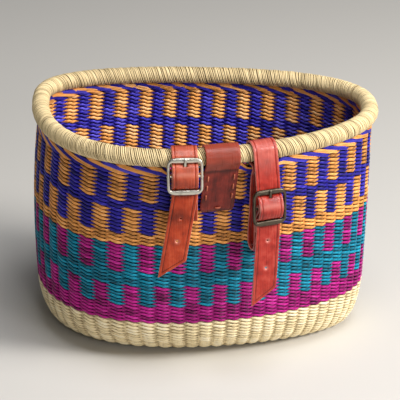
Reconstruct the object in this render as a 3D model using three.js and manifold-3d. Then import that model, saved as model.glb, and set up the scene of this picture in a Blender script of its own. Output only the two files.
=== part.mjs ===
// Bicycle basket of twined straw, with two buckled leather belts looped over its rim.
// Millimetres, +Z up. The origin is on the table under the middle of the basket, and -Y is the belt side.
import * as THREE from 'three';
import { mergeVertices } from 'three/addons/utils/BufferGeometryUtils.js';
import ManifoldModule from 'manifold-3d';

// Rim hoop, measured on its centre line
const RIM_HALF_WIDTH = 171;
const RIM_FRONT_DEPTH = 148;
const RIM_BACK_DEPTH = 81;
const RIM_SHIFT = 5.8;
const RIM_CORE_RADIUS = 5.2;
const RIM_WINDING = 3.5;

// Plan curve: an egg whose front is deeper on the left, widest towards the back
const FRONT_ROUNDNESS = 2.14;
const BACK_ROUNDNESS = 2.47;
const FRONT_LEAN = 0.288;
const BACK_LEAN = -0.086;
const PLAN_SKEW = -0.096;
const WIDEST_LINE = 35;

// Woven wall and floor
const WALL_THICKNESS = 6.4;
const SIDE_BULGE = 4.2;
const FRONT_FLARE = 32;
const BACK_FLARE = 16;
const FLARE_EASE = 0.4;
const FLOOR_HALF_WIDTH = 156;
const FLOOR_FRONT_DEPTH = 78;
const FLOOR_BACK_DEPTH = 50;
const WALL_HEIGHT = 235.64;
const NATURAL_HEIGHT = 52;
const BORDER_HEIGHT = 10.6;

// Straw ribs inside the rows, which stand out as ridges on both faces. Their places are shares of the way
// round from the left end, at one level, and two sways, counted in ribs, set them wider at the left front.
const RIBS = 64;
const FURROW_THICKNESS = 2.4;
const RIB_LEVEL = 150;
const FIRST_RIB = 0.0962;
const RIB_SWAY = 1.05;
const RIB_SWAY_PLACE = 0.354;
const RIB_END_SWAY = 0.31;

// Leather belts
const BELT_WIDTH = 25;
const BELT_THICKNESS = 2.4;
const BELT_CLEARANCE = 0.7;
const SLIT_CLEARANCE = 1;
const BACK_BEND = 4;
const LEG_SETTLE = 12;
const LOOP_DROP = 51;
const FOLD_LENGTH = 27;
const TAIL_LENGTH = 69;
const TAIL_TIP = 17;
const TAIL_HOLE_RADIUS = 1.5;

// Buckles: a frame, a centre bar through its sides and a prong on the bar
const FRAME_HEIGHT = 36;
const FRAME_STOCK = 4;
const FRAME_SIDE_ROOM = 1;
const FRAME_LEAD_IN = 1;
const FRAME_THICKNESS = 3.6;
const FRAME_CORNER = 5;
const BAR_RADIUS = 1.2;
const BAR_CLEARANCE = 0.2;
const PRONG_WIDTH = 2.6;
const PRONG_STOCK = 1.6;
const PRONG_OVERHANG = 0.8;
const PRONG_CLEARANCE = 0.8;
const RIVET_RADIUS = 1.8;
const RIVET_HEAD_RADIUS = 3.6;
const RIVET_HEAD = 0.6;
const TAIL_DROP = 0.8;

// Where each belt hangs: its place along the rim, the buckle's place and tilt, and how its tail lies
const LEFT_PLACE = -19.8;
const LEFT_STAND_OFF = 3.3;
const LEFT_BUCKLE_DROP = 13;
const LEFT_TILT = THREE.MathUtils.degToRad(5);
const LEFT_RIM_LEAVE = THREE.MathUtils.degToRad(40);
const LEFT_SLANT = THREE.MathUtils.degToRad(10);
const LEFT_FIRST_HOLE = 25;
const LEFT_SECOND_HOLE = 48;
const RIGHT_PLACE = 55.2;
const RIGHT_STAND_OFF = 10.9;
const RIGHT_BUCKLE_DROP = 50;
const RIGHT_TILT = THREE.MathUtils.degToRad(3);
const RIGHT_RIM_LEAVE = THREE.MathUtils.degToRad(5);
const RIGHT_SLANT = THREE.MathUtils.degToRad(4);
const RIGHT_FIRST_HOLE = 17;
const RIGHT_SECOND_HOLE = 46;

// Leather patch over the rim, and the lace that sews it through the wall
const PATCH_PLACE = 18.2;
const PATCH_WIDTH = 34;
const PATCH_THICKNESS = 2.2;
const PATCH_FLAP = 58;
const PATCH_CLEARANCE = 0.5;
const PATCH_DROP = THREE.MathUtils.degToRad(18);
const PATCH_SETTLE = 4.4;
const LACE_WIDTH = 1.6;
const LACE_CLEARANCE = 0.35;
const LACE_MARGIN = 4;
const LACE_STITCH = 4.5;
const LACE_DROP = 10;
const LACE_TENSION = 0.1;
const SIDE_STITCHES = 3;

// Gap between pieces that touch, and how finely round shapes are cut
const FIT = 0.3;
const RING_STEPS = 48;
const RIB_SEARCHES = 6;
const CORNER_STEPS = 4;
const CORE_SIDES = 5;
const WRAP_STEPS = 7;
const OVER_RIM_STEPS = 10;
const BELT_BEND_STEPS = 4;
const LEG_STEPS = 2;
const SMOOTH_STEPS = 2;
const LACE_STEPS = 2;
const ROUND_SIDES = 12;
const CURVE_STEPS = 4;
const NORMAL_STEP = 0.001;
const SEARCH_STEP = 0.01;
const SEARCH_REACH = 20;
const TURN = 2 * Math.PI;
const DOWN = -TURN / 4;

// The bands of the wall, from the natural straw up, as rows of twining
const BANDS = [
  { name: 'magenta_band', rows: 5, colour: '#a3226d' },
  { name: 'lower_teal_checks', rows: 6, colour: '#3a5d80' },
  { name: 'teal_band', rows: 4, colour: '#1d7f8f' },
  { name: 'upper_magenta_checks', rows: 8, colour: '#6a4a7e' },
  { name: 'orange_band', rows: 3, colour: '#d98a45' },
  { name: 'lower_orange_checks', rows: 7, colour: '#8a5f6e' },
  { name: 'blue_band', rows: 2, colour: '#2c2a86' },
  { name: 'upper_orange_checks', rows: 7, colour: '#7f5a74' },
];

const BELTS = [
  {
    side: 'left',
    place: LEFT_PLACE,
    standOff: LEFT_STAND_OFF,
    buckleDrop: LEFT_BUCKLE_DROP,
    tilt: LEFT_TILT,
    rimLeave: LEFT_RIM_LEAVE,
    slant: Math.tan(LEFT_SLANT),
    holes: [LEFT_FIRST_HOLE, LEFT_SECOND_HOLE],
    metal: '#b9b4a6',
  },
  {
    side: 'right',
    place: RIGHT_PLACE,
    standOff: RIGHT_STAND_OFF,
    buckleDrop: RIGHT_BUCKLE_DROP,
    tilt: RIGHT_TILT,
    rimLeave: RIGHT_RIM_LEAVE,
    slant: Math.tan(RIGHT_SLANT),
    holes: [RIGHT_FIRST_HOLE, RIGHT_SECOND_HOLE],
    metal: '#6b6250',
  },
];

const STRAW = { color: '#d8bd84', roughness: 0.75, metalness: 0 };
const LEATHER = { color: '#a8432a', roughness: 0.5, metalness: 0 };
const PATCH_LEATHER = { color: '#6a2418', roughness: 0.6, metalness: 0 };
const LACE = { color: '#8a4630', roughness: 0.7, metalness: 0 };
const BORDER_COLOUR = '#6f4f74';

// Sizes that follow from the ones above
const BAND_ROWS = BANDS.reduce((rows, band) => rows + band.rows, 0);
const RIM_RADIUS = RIM_CORE_RADIUS + FIT + RIM_WINDING;
const ROW_PITCH = (WALL_HEIGHT - NATURAL_HEIGHT - BORDER_HEIGHT) / BAND_ROWS;
const RIM_HEIGHT = WALL_HEIGHT + RIM_RADIUS;
const RIM_ARC = RIM_RADIUS + BELT_CLEARANCE + BELT_THICKNESS / 2;
const FRAME_WIDTH = BELT_WIDTH + 2 * (FRAME_SIDE_ROOM + FRAME_STOCK);
const INNER_HALF = FRAME_HEIGHT / 2 - FRAME_STOCK;
const LACE_HOLE_WIDTH = LACE_WIDTH + 2 * LACE_CLEARANCE;

const wasm = await ManifoldModule();
wasm.setup();

// Solids

function toSolid(geometry) {
  const bare = new THREE.BufferGeometry();
  bare.setAttribute('position', geometry.getAttribute('position').clone());
  if (geometry.index) {
    bare.setIndex(geometry.index.clone());
  }
  const merged = mergeVertices(bare);
  const vertProperties = new Float32Array(merged.getAttribute('position').array);
  const triVerts = new Uint32Array(merged.index.array);
  return new wasm.Manifold(new wasm.Mesh({ numProp: 3, vertProperties, triVerts }));
}

function toGeometry(solid) {
  const mesh = solid.getMesh();
  const geometry = new THREE.BufferGeometry();
  geometry.setAttribute('position', new THREE.BufferAttribute(mesh.vertProperties, 3));
  geometry.setIndex(new THREE.BufferAttribute(mesh.triVerts, 1));
  geometry.computeVertexNormals();
  return geometry;
}

// Cuts away those cutters whose boxes reach the piece.
function cut(geometry, cutters) {
  geometry.computeBoundingBox();
  let solid = toSolid(geometry);
  for (const cutter of cutters) {
    cutter.computeBoundingBox();
    if (geometry.boundingBox.intersectsBox(cutter.boundingBox)) {
      solid = solid.subtract(toSolid(cutter));
    }
  }
  return toGeometry(solid);
}

function boxBetween(low, high) {
  const size = new THREE.Vector3().subVectors(high, low);
  const middle = new THREE.Vector3().addVectors(low, high).multiplyScalar(0.5);
  const geometry = new THREE.BoxGeometry(size.x, size.y, size.z);
  return geometry.translate(middle.x, middle.y, middle.z);
}

function piece(name, geometry, finish) {
  const mesh = new THREE.Mesh(geometry, new THREE.MeshStandardMaterial(finish));
  mesh.name = name;
  return mesh;
}

// Plan and wall

function signedPower(value, power) {
  return Math.sign(value) * Math.abs(value) ** power;
}

// Angle 0 is the right end, a quarter turn the back, and minus a quarter turn the front.
function planPoint(angle, size) {
  const front = Math.sin(angle) < 0;
  const power = 2 / (front ? FRONT_ROUNDNESS : BACK_ROUNDNESS);
  const across = signedPower(Math.cos(angle), power);
  const along = signedPower(Math.sin(angle), power);
  const depth = front ? size.front : size.back;
  const lean = front ? FRONT_LEAN : BACK_LEAN;
  const x = size.half * across;
  const y = depth * (1 - lean * across) * along + PLAN_SKEW * x;
  return new THREE.Vector2(x + size.shift, y + WIDEST_LINE);
}

function planNormal(angle, size) {
  const ahead = planPoint(angle + NORMAL_STEP, size);
  const behind = planPoint(angle - NORMAL_STEP, size);
  const tangent = ahead.sub(behind).normalize();
  return new THREE.Vector2(tangent.y, -tangent.x);
}

// Half width and depths of the wall's middle surface at a height. Inside the rim the wall stands upright.
function wallSize(height) {
  const rise = Math.min(height / WALL_HEIGHT, 1);
  const drawnIn = 1 - rise * (1 + FLARE_EASE * (1 - rise));
  return {
    half: RIM_HALF_WIDTH + SIDE_BULGE * 4 * rise * (1 - rise),
    front: RIM_FRONT_DEPTH - FRONT_FLARE * drawnIn,
    back: RIM_BACK_DEPTH - BACK_FLARE * drawnIn,
    shift: RIM_SHIFT * rise ** 3,
  };
}

// A share of the way from the floor's outline to the wall's, which rounds the bottom edge.
function cornerSize(height, share) {
  const wall = wallSize(height);
  return {
    half: THREE.MathUtils.lerp(FLOOR_HALF_WIDTH, wall.half, share),
    front: THREE.MathUtils.lerp(FLOOR_FRONT_DEPTH, wall.front, share),
    back: THREE.MathUtils.lerp(FLOOR_BACK_DEPTH, wall.back, share),
    shift: wall.shift * share,
  };
}

function offsetPoint(angle, size, outset, height) {
  const point = planPoint(angle, size).addScaledVector(planNormal(angle, size), outset);
  return new THREE.Vector3(point.x, point.y, height);
}

function wallPoint(angle, height, outset) {
  return offsetPoint(angle, wallSize(height), outset, height);
}

// The wall's outline at the level where its ribs are counted, from the left end round the front.
class RibOutline extends THREE.Curve {
  getPoint(share) {
    return planPoint((share - 0.5) * TURN, wallSize(RIB_LEVEL));
  }
}

const ribOutline = new RibOutline();

// The angle of a rib, or of the furrow half-way to the next one.
function ribAngle(rib) {
  let share = FIRST_RIB + rib / RIBS;
  for (let search = 0; search < RIB_SEARCHES; search += 1) {
    const sway = RIB_SWAY * Math.cos(TURN * (share - RIB_SWAY_PLACE));
    const endSway = RIB_END_SWAY * Math.cos(2 * TURN * share);
    share = FIRST_RIB + (rib + sway - endSway) / RIBS;
  }
  return (ribOutline.getUtoTmapping(share % 1) - 0.5) * TURN;
}

const EVEN_ANGLES = Array.from({ length: RING_STEPS }, (_, step) => (step / RING_STEPS) * TURN);
const RIB_ANGLES = Array.from({ length: 2 * RIBS }, (_, step) => ribAngle(step / 2));

// Half the wall's thickness at a step round the ribs: every other step is a furrow.
function ribOutset(step) {
  return (step % 2 === 0 ? WALL_THICKNESS : FURROW_THICKNESS) / 2;
}

// A closed ring round the basket. Its section runs anticlockwise with outward to the right and up upward.
function ringGeometry(angles, sectionAt) {
  const positions = [];
  const indices = [];
  angles.forEach((angle, step) => {
    const next = (step + 1) % angles.length;
    const section = sectionAt(angle, step);
    const count = section.length;
    section.forEach((point, index) => {
      const beyond = (index + 1) % count;
      const a = step * count + index;
      const b = next * count + index;
      const c = next * count + beyond;
      const d = step * count + beyond;
      positions.push(point.x, point.y, point.z);
      indices.push(a, b, c, a, c, d);
    });
  });
  const geometry = new THREE.BufferGeometry();
  geometry.setAttribute('position', new THREE.Float32BufferAttribute(positions, 3));
  geometry.setIndex(indices);
  geometry.computeVertexNormals();
  return geometry;
}

// The wall's section at an angle, given its half thickness and the heights of its edges and bends.
function wallSection(angle, half, heights) {
  const outer = heights.map((height) => wallPoint(angle, height, half));
  const inner = heights.map((height) => wallPoint(angle, height, -half));
  return [...outer, ...inner.reverse()];
}

function dyedRing(bottom, top) {
  return ringGeometry(RIB_ANGLES, (angle, step) => wallSection(angle, ribOutset(step), [bottom, top]));
}

// The border's long stitches cover the ribs, and its top runs up inside the rim.
function borderRing(bottom) {
  const heights = [bottom, WALL_HEIGHT, RIM_HEIGHT - RIM_CORE_RADIUS - FIT];
  return ringGeometry(EVEN_ANGLES, (angle) => wallSection(angle, WALL_THICKNESS / 2, heights));
}

// The rounded bottom edge: an outer and an inner quarter arc from the floor to the first dyed row.
function naturalRing() {
  return ringGeometry(RIB_ANGLES, (angle, ribStep) => {
    const outer = [];
    const inner = [];
    for (let step = 0; step <= CORNER_STEPS; step += 1) {
      const bend = ((step / CORNER_STEPS) * TURN) / 4;
      const share = Math.sin(bend);
      const outset = ribOutset(ribStep) * share;
      const low = NATURAL_HEIGHT * (1 - Math.cos(bend));
      const high = NATURAL_HEIGHT - (NATURAL_HEIGHT - WALL_THICKNESS) * Math.cos(bend);
      outer.push(offsetPoint(angle, cornerSize(low, share), outset, low));
      inner.push(offsetPoint(angle, cornerSize(high, share), -outset, high));
    }
    return [...outer, ...inner.reverse()];
  });
}

function floorPlate() {
  const outline = EVEN_ANGLES.map((angle) => {
    const edge = offsetPoint(angle, cornerSize(0, 0), -FIT, 0);
    return new THREE.Vector2(edge.x, edge.y);
  });
  return new THREE.ExtrudeGeometry(new THREE.Shape(outline), { depth: WALL_THICKNESS, bevelEnabled: false });
}

// Rim

function rimRing(section) {
  return ringGeometry(EVEN_ANGLES, (angle) =>
    section.map((point) => offsetPoint(angle, wallSize(RIM_HEIGHT), point.x, RIM_HEIGHT + point.y)),
  );
}

function arcPoints(radius, from, to, steps) {
  const points = [];
  for (let step = 0; step <= steps; step += 1) {
    const angle = from + ((to - from) * step) / steps;
    points.push(new THREE.Vector2(radius * Math.cos(angle), radius * Math.sin(angle)));
  }
  return points;
}

function coreSection() {
  return arcPoints(RIM_CORE_RADIUS, 0, TURN * (1 - 1 / CORE_SIDES), CORE_SIDES - 1);
}

// The wrapping is a tube that is open underneath, where the top of the wall goes in.
function wrapSection() {
  const mouth = WALL_THICKNESS / 2 + FIT;
  const boreSteps = WRAP_STEPS - 2;
  const bore = (RIM_CORE_RADIUS + FIT) / Math.cos(TURN / 2 / boreSteps);
  const outerLip = Math.asin(mouth / RIM_RADIUS);
  const innerLip = Math.asin(mouth / bore);
  const outer = arcPoints(RIM_RADIUS, DOWN + outerLip, DOWN + TURN - outerLip, WRAP_STEPS);
  const inner = arcPoints(bore, DOWN + TURN - innerLip, DOWN + innerLip, boreSteps);
  return [...outer, ...inner];
}

// Stations on the front of the rim: local X points out of the basket, local Y up, local Z along the rim.

function rimStation(place) {
  const size = wallSize(RIM_HEIGHT);
  const cosine = signedPower(place / RIM_HALF_WIDTH, FRONT_ROUNDNESS / 2);
  const angle = -Math.acos(cosine);
  const centre = planPoint(angle, size);
  const normal = planNormal(angle, size);
  const outward = new THREE.Vector3(normal.x, normal.y, 0);
  const up = new THREE.Vector3(0, 0, 1);
  const along = new THREE.Vector3().crossVectors(outward, up);
  const group = new THREE.Group();
  group.quaternion.setFromRotationMatrix(new THREE.Matrix4().makeBasis(outward, up, along));
  group.position.set(centre.x, centre.y, RIM_HEIGHT);
  group.updateMatrixWorld(true);
  return { group, angle };
}

// How far the wall's face lies from a station's rim centre, at a level below it and over a width.
function wallReach(station, level, outset, width) {
  const reaches = [];
  for (let step = -SEARCH_REACH; step <= SEARCH_REACH; step += 1) {
    const point = wallPoint(station.angle + step * SEARCH_STEP, RIM_HEIGHT + level, outset);
    const local = station.group.worldToLocal(point);
    if (Math.abs(local.z) <= width / 2) {
      reaches.push(local.x);
    }
  }
  return outset > 0 ? Math.max(...reaches) : Math.min(...reaches);
}

// A strip of leather: a flat centre line, thickened to both sides and extruded to its width.
function strip(points, thickness, width) {
  const left = [];
  const right = [];
  points.forEach((point, index) => {
    const before = points[Math.max(index - 1, 0)];
    const after = points[Math.min(index + 1, points.length - 1)];
    const along = new THREE.Vector2().subVectors(after, before).normalize();
    const across = new THREE.Vector2(-along.y, along.x).multiplyScalar(thickness / 2);
    left.push(new THREE.Vector2().addVectors(point, across));
    right.push(new THREE.Vector2().subVectors(point, across));
  });
  const shape = new THREE.Shape([...right, ...left.reverse()]);
  const geometry = new THREE.ExtrudeGeometry(shape, { depth: width, bevelEnabled: false });
  return geometry.translate(0, 0, -width / 2);
}

function smooth(points) {
  const curve = new THREE.CatmullRomCurve3(points.map((point) => new THREE.Vector3(point.x, point.y, 0)));
  const steps = points.length * SMOOTH_STEPS;
  return curve.getPoints(steps).map((point) => new THREE.Vector2(point.x, point.y));
}

// Belt layers in the buckle's own frame: X out of the frame, Y up it, centre bar at the origin
const LAYER_FRONT = -(FRAME_THICKNESS / 2 + FIT + BELT_THICKNESS / 2);
const LAYER_FOLD = LAYER_FRONT - BELT_THICKNESS - RIVET_HEAD - 2 * FIT;
const LAYER_BACK = LAYER_FOLD - BELT_THICKNESS - 2 * FIT;
const FOLD_RADIUS = BAR_RADIUS + FIT + BELT_THICKNESS / 2;
const OVER_BAR = FOLD_RADIUS + BELT_THICKNESS + 2 * FIT;
const RISE_LEVEL = INNER_HALF - FRAME_LEAD_IN;
const TAIL_TOP = -(FRAME_HEIGHT / 2 + TAIL_DROP);
const RIVET_LEVEL = (TAIL_TOP - FOLD_LENGTH) / 2;

// The belt's slope between the frame and the bar, as the angle where it meets a circle round the bar.
const BAR_TANGENT = tangentAngle(new THREE.Vector2(LAYER_FRONT, RISE_LEVEL), OVER_BAR, -1);

function tangentAngle(point, radius, side) {
  return point.angle() + side * Math.acos(radius / point.length());
}

// The front layer, from the tail's top edge up: behind the frame's foot, over the bar, behind the frame's top
function frontLayer() {
  return [
    new THREE.Vector2(LAYER_FRONT, TAIL_TOP + FIT / 2),
    new THREE.Vector2(LAYER_FRONT, -FRAME_HEIGHT / 2 + FRAME_LEAD_IN),
    new THREE.Vector2(LAYER_FRONT, -RISE_LEVEL),
    ...arcPoints(OVER_BAR, -BAR_TANGENT, BAR_TANGENT, BELT_BEND_STEPS),
    new THREE.Vector2(LAYER_FRONT, RISE_LEVEL),
    new THREE.Vector2(LAYER_FRONT, FRAME_HEIGHT / 2),
  ];
}

// The belt's end folded round the bar: up behind the front layer, round the bar and down to a riveted end
function foldLayers() {
  const level = (FOLD_RADIUS - LAYER_FOLD * Math.cos(BAR_TANGENT)) / Math.sin(BAR_TANGENT);
  const behind = new THREE.Vector2(LAYER_BACK, -level);
  const backTangent = tangentAngle(behind, FOLD_RADIUS, -1);
  return [
    new THREE.Vector2(LAYER_BACK, -FOLD_LENGTH),
    new THREE.Vector2(LAYER_BACK, (-FOLD_LENGTH - level) / 2),
    behind,
    ...arcPoints(FOLD_RADIUS, backTangent, -BAR_TANGENT, 2 * BELT_BEND_STEPS),
    new THREE.Vector2(LAYER_FOLD, -level),
    new THREE.Vector2(LAYER_FOLD, (-FOLD_LENGTH - level) / 2),
    new THREE.Vector2(LAYER_FOLD, -FOLD_LENGTH),
  ];
}

function bucklePlace(belt) {
  return new THREE.Vector2(RIM_ARC + BELT_THICKNESS / 2 + belt.standOff, -belt.buckleDrop);
}

// The belt from the tail's top edge: through the buckle, over the rim, in through the wall's slit, down the
// wall, round the bottom of the loop and back up to its fold round the centre bar.
function beltLine(belt, station) {
  const pivot = new THREE.Vector2(0, 0);
  const buckle = bucklePlace(belt);
  const place = (point) => point.clone().rotateAround(pivot, belt.tilt).add(buckle);
  const front = frontLayer().map(place);
  const overRim = arcPoints(RIM_ARC, belt.rimLeave, DOWN + TURN, OVER_RIM_STEPS);

  const exit = WALL_THICKNESS / 2 + SLIT_CLEARANCE;
  const bendCentre = new THREE.Vector2(exit, -RIM_ARC - BACK_BEND);
  const bend = arcPoints(BACK_BEND, TURN / 4, 0, BELT_BEND_STEPS).map((point) => point.add(bendCentre));

  const fold = foldLayers().map(place);
  const wallGap = FIT + SLIT_CLEARANCE + BELT_THICKNESS / 2;
  const againstWall = (level) =>
    new THREE.Vector2(wallReach(station, level, WALL_THICKNESS / 2, BELT_WIDTH) + wallGap, level);
  const loopBottom = buckle.y - LOOP_DROP;
  const legTop = -RIM_ARC - LEG_SETTLE;
  const legBottom = loopBottom + (fold[0].x - againstWall(loopBottom).x) / 2;
  const leg = [];
  for (let step = 0; step <= LEG_STEPS; step += 1) {
    leg.push(againstWall(THREE.MathUtils.lerp(legTop, legBottom, step / LEG_STEPS)));
  }
  const foot = leg[LEG_STEPS];
  const turnCentre = new THREE.Vector2((foot.x + fold[0].x) / 2, legBottom);
  const turn = arcPoints((fold[0].x - foot.x) / 2, TURN / 2, TURN, BELT_BEND_STEPS).map((point) =>
    point.add(turnCentre),
  );
  return smooth([...front, ...overRim, ...bend, ...leg, ...turn.slice(1), ...fold]);
}

function rivet() {
  const inner = LAYER_BACK - BELT_THICKNESS / 2 - FIT - RIVET_HEAD;
  const outer = LAYER_FOLD + BELT_THICKNESS / 2 + FIT + RIVET_HEAD;
  const profile = [
    [0, inner],
    [RIVET_HEAD_RADIUS, inner],
    [RIVET_HEAD_RADIUS, inner + RIVET_HEAD],
    [RIVET_RADIUS, inner + RIVET_HEAD],
    [RIVET_RADIUS, outer - RIVET_HEAD],
    [RIVET_HEAD_RADIUS, outer - RIVET_HEAD],
    [RIVET_HEAD_RADIUS, outer],
    [0, outer],
  ].map(([radius, level]) => new THREE.Vector2(radius, level));
  const geometry = new THREE.LatheGeometry(profile, ROUND_SIDES);
  return geometry.rotateZ(-TURN / 4).translate(0, RIVET_LEVEL, 0);
}

function rivetHole() {
  const length = LAYER_FRONT - BELT_THICKNESS / 2 - (LAYER_BACK - BELT_THICKNESS);
  const geometry = new THREE.CylinderGeometry(RIVET_RADIUS + FIT, RIVET_RADIUS + FIT, length, ROUND_SIDES);
  return geometry.rotateZ(TURN / 4).translate(LAYER_BACK - BELT_THICKNESS + length / 2, RIVET_LEVEL, 0);
}

function roundedOutline(target, width, height, corner) {
  const x = width / 2 - corner;
  const y = height / 2 - corner;
  target.absarc(x, y, corner, 0, TURN / 4);
  target.absarc(-x, y, corner, TURN / 4, TURN / 2);
  target.absarc(-x, -y, corner, TURN / 2, DOWN + TURN);
  target.absarc(x, -y, corner, DOWN, 0);
  target.closePath();
  return target;
}

function buckleFrame() {
  const shape = roundedOutline(new THREE.Shape(), FRAME_WIDTH, FRAME_HEIGHT, FRAME_CORNER);
  const innerWidth = FRAME_WIDTH - 2 * FRAME_STOCK;
  const innerCorner = FRAME_CORNER - FRAME_STOCK / 2;
  shape.holes.push(roundedOutline(new THREE.Path(), innerWidth, 2 * INNER_HALF, innerCorner));
  const options = { depth: FRAME_THICKNESS, bevelEnabled: false, curveSegments: CURVE_STEPS };
  const frame = new THREE.ExtrudeGeometry(shape, options).translate(0, 0, -FRAME_THICKNESS / 2);
  frame.rotateY(TURN / 4);
  const bore = BAR_RADIUS + BAR_CLEARANCE;
  const hole = new THREE.CylinderGeometry(bore, bore, FRAME_WIDTH + FRAME_STOCK, ROUND_SIDES);
  return cut(frame, [hole.rotateX(TURN / 4)]);
}

function centreBar() {
  return new THREE.CylinderGeometry(BAR_RADIUS, BAR_RADIUS, FRAME_WIDTH, ROUND_SIDES).rotateX(TURN / 4);
}

// The prong's finger runs straight from the bar to the frame's top, at this slope from upright.
const PRONG_REST = FRAME_THICKNESS / 2 + BAR_CLEARANCE;
const PRONG_SLOPE = (PRONG_REST + PRONG_STOCK / 2) / INNER_HALF;

// The prong: an eye round the bar and a finger that rises to rest on the frame's top.
function prong() {
  const bore = BAR_RADIUS + BAR_CLEARANCE;
  const eye = bore + PRONG_STOCK;
  const front = PRONG_REST + PRONG_STOCK;
  const tip = FRAME_HEIGHT / 2 + PRONG_OVERHANG;
  const lean = Math.atan2(1, PRONG_SLOPE);
  const root = Math.asin(PRONG_STOCK / 2 / eye);
  const shape = new THREE.Shape();
  shape.absarc(0, 0, eye, lean + root, lean - root + TURN, false);
  shape.lineTo(front, INNER_HALF);
  shape.lineTo(front, tip - PRONG_STOCK / 2);
  shape.lineTo(front - PRONG_STOCK / 2, tip);
  shape.lineTo(PRONG_REST, tip);
  shape.lineTo(PRONG_REST, INNER_HALF);
  shape.closePath();
  const hole = new THREE.Path();
  hole.absarc(0, 0, bore, 0, TURN, false);
  shape.holes.push(hole);
  const options = { depth: PRONG_WIDTH, bevelEnabled: false, curveSegments: ROUND_SIDES };
  return new THREE.ExtrudeGeometry(shape, options).translate(0, 0, -PRONG_WIDTH / 2);
}

// The level where a line beside the prong's finger meets a face of the belt that rises off the bar.
function fingerLevel(beside, face) {
  const slope = Math.cos(BAR_TANGENT);
  return (face - beside * slope) / (Math.sin(BAR_TANGENT) + PRONG_SLOPE * slope);
}

// Room in the belt for the prong: a slot in the fold for its eye, and a hole that the finger comes out of.
function prongRoom() {
  const side = PRONG_WIDTH / 2 + PRONG_CLEARANCE;
  const eye = OVER_BAR - BELT_THICKNESS / 2 - FIT;
  const slot = new THREE.CylinderGeometry(eye, eye, 2 * side, ROUND_SIDES).rotateX(TURN / 4);
  const beside = PRONG_STOCK / 2 + PRONG_CLEARANCE;
  const low = fingerLevel(beside, OVER_BAR - BELT_THICKNESS / 2);
  const high = fingerLevel(-beside, OVER_BAR + BELT_THICKNESS / 2);
  const hole = boxBetween(
    new THREE.Vector3(LAYER_FRONT, low, -side),
    new THREE.Vector3(OVER_BAR + BELT_THICKNESS, high, side),
  );
  return [slot, hole];
}

function beltTail(belt) {
  const half = BELT_WIDTH / 2;
  const tip = TAIL_LENGTH + TAIL_TIP;
  const shape = new THREE.Shape();
  shape.moveTo(-half, 0);
  shape.lineTo(-half + TAIL_LENGTH * belt.slant, -TAIL_LENGTH);
  shape.lineTo(half + tip * belt.slant, -tip);
  shape.lineTo(half, 0);
  shape.closePath();
  for (const level of belt.holes) {
    const hole = new THREE.Path();
    hole.absarc(level * belt.slant, -level, TAIL_HOLE_RADIUS, 0, TURN, true);
    shape.holes.push(hole);
  }
  const options = { depth: BELT_THICKNESS, bevelEnabled: false, curveSegments: CURVE_STEPS };
  const geometry = new THREE.ExtrudeGeometry(shape, options).translate(0, 0, -BELT_THICKNESS / 2);
  return geometry.rotateY(-TURN / 4).translate(LAYER_FRONT, TAIL_TOP - FIT / 2, 0);
}

function slitCutter(station) {
  const inner = RIM_RADIUS + BELT_CLEARANCE - SLIT_CLEARANCE;
  const outer = RIM_RADIUS + BELT_CLEARANCE + BELT_THICKNESS + SLIT_CLEARANCE;
  const half = BELT_WIDTH / 2 + SLIT_CLEARANCE;
  const low = new THREE.Vector3(-WALL_THICKNESS, -outer, -half);
  const high = new THREE.Vector3(WALL_THICKNESS, -inner, half);
  return boxBetween(low, high).applyMatrix4(station.group.matrixWorld);
}

// One belt with its buckle, in a group that hangs at its place on the rim.
function beltAssembly(belt, station) {
  const leather = strip(beltLine(belt, station), BELT_THICKNESS, BELT_WIDTH);
  const buckle = new THREE.Group();
  buckle.rotation.z = belt.tilt;
  const centre = bucklePlace(belt);
  buckle.position.set(centre.x, centre.y, 0);
  buckle.updateMatrix();
  const room = [...prongRoom(), rivetHole()].map((cutter) => cutter.applyMatrix4(buckle.matrix));
  const metal = { color: belt.metal, roughness: 0.35, metalness: 1 };
  station.group.add(piece(`${belt.side}_belt`, cut(leather, room), LEATHER));
  buckle.add(piece(`${belt.side}_tail`, beltTail(belt), LEATHER));
  buckle.add(piece(`${belt.side}_buckle_frame`, buckleFrame(), metal));
  buckle.add(piece(`${belt.side}_centre_bar`, centreBar(), metal));
  buckle.add(piece(`${belt.side}_prong`, prong(), metal));
  buckle.add(piece(`${belt.side}_fold_rivet`, rivet(), metal));
  station.group.add(buckle);
  return station.group;
}

// Patch

function patchFace(station, level, outset) {
  const gap = PATCH_CLEARANCE + PATCH_THICKNESS / 2;
  const reach = wallReach(station, level, outset, PATCH_WIDTH);
  return new THREE.Vector2(reach + Math.sign(outset) * gap, level);
}

// The patch from the foot of its inside flap, over the rim, to the foot of its outside flap.
function patchLine(station) {
  const half = WALL_THICKNESS / 2;
  const arc = RIM_RADIUS + PATCH_CLEARANCE + PATCH_THICKNESS / 2 + FIT;
  const under = -arc - PATCH_THICKNESS;
  const levels = [under, under - PATCH_SETTLE, (under - PATCH_FLAP) / 2, -PATCH_FLAP];
  const inside = levels.map((level) => patchFace(station, level, -half));
  const outside = levels.map((level) => patchFace(station, level, half));
  const overRim = arcPoints(arc, TURN / 2 + PATCH_DROP, -PATCH_DROP, OVER_RIM_STEPS);
  return smooth([...inside.reverse(), ...overRim, ...outside]);
}

// Places where the lace pierces the patch, in order: down one side, along the foot and up the other.
function lacePlaces() {
  const side = PATCH_WIDTH / 2 - LACE_MARGIN;
  const foot = PATCH_FLAP - LACE_MARGIN;
  const top = RIM_RADIUS + LACE_DROP;
  const pitch = (foot - LACE_MARGIN - top) / SIDE_STITCHES;
  const places = [];
  for (let stitch = 0; stitch < SIDE_STITCHES; stitch += 1) {
    const level = -top - stitch * pitch;
    places.push([level, side], [level - LACE_STITCH, side]);
  }
  places.push([-foot, LACE_STITCH / 2], [-foot, -LACE_STITCH / 2]);
  for (let stitch = SIDE_STITCHES - 1; stitch >= 0; stitch -= 1) {
    const level = -top - stitch * pitch;
    places.push([level - LACE_STITCH, -side], [level, -side]);
  }
  return places;
}

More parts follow.
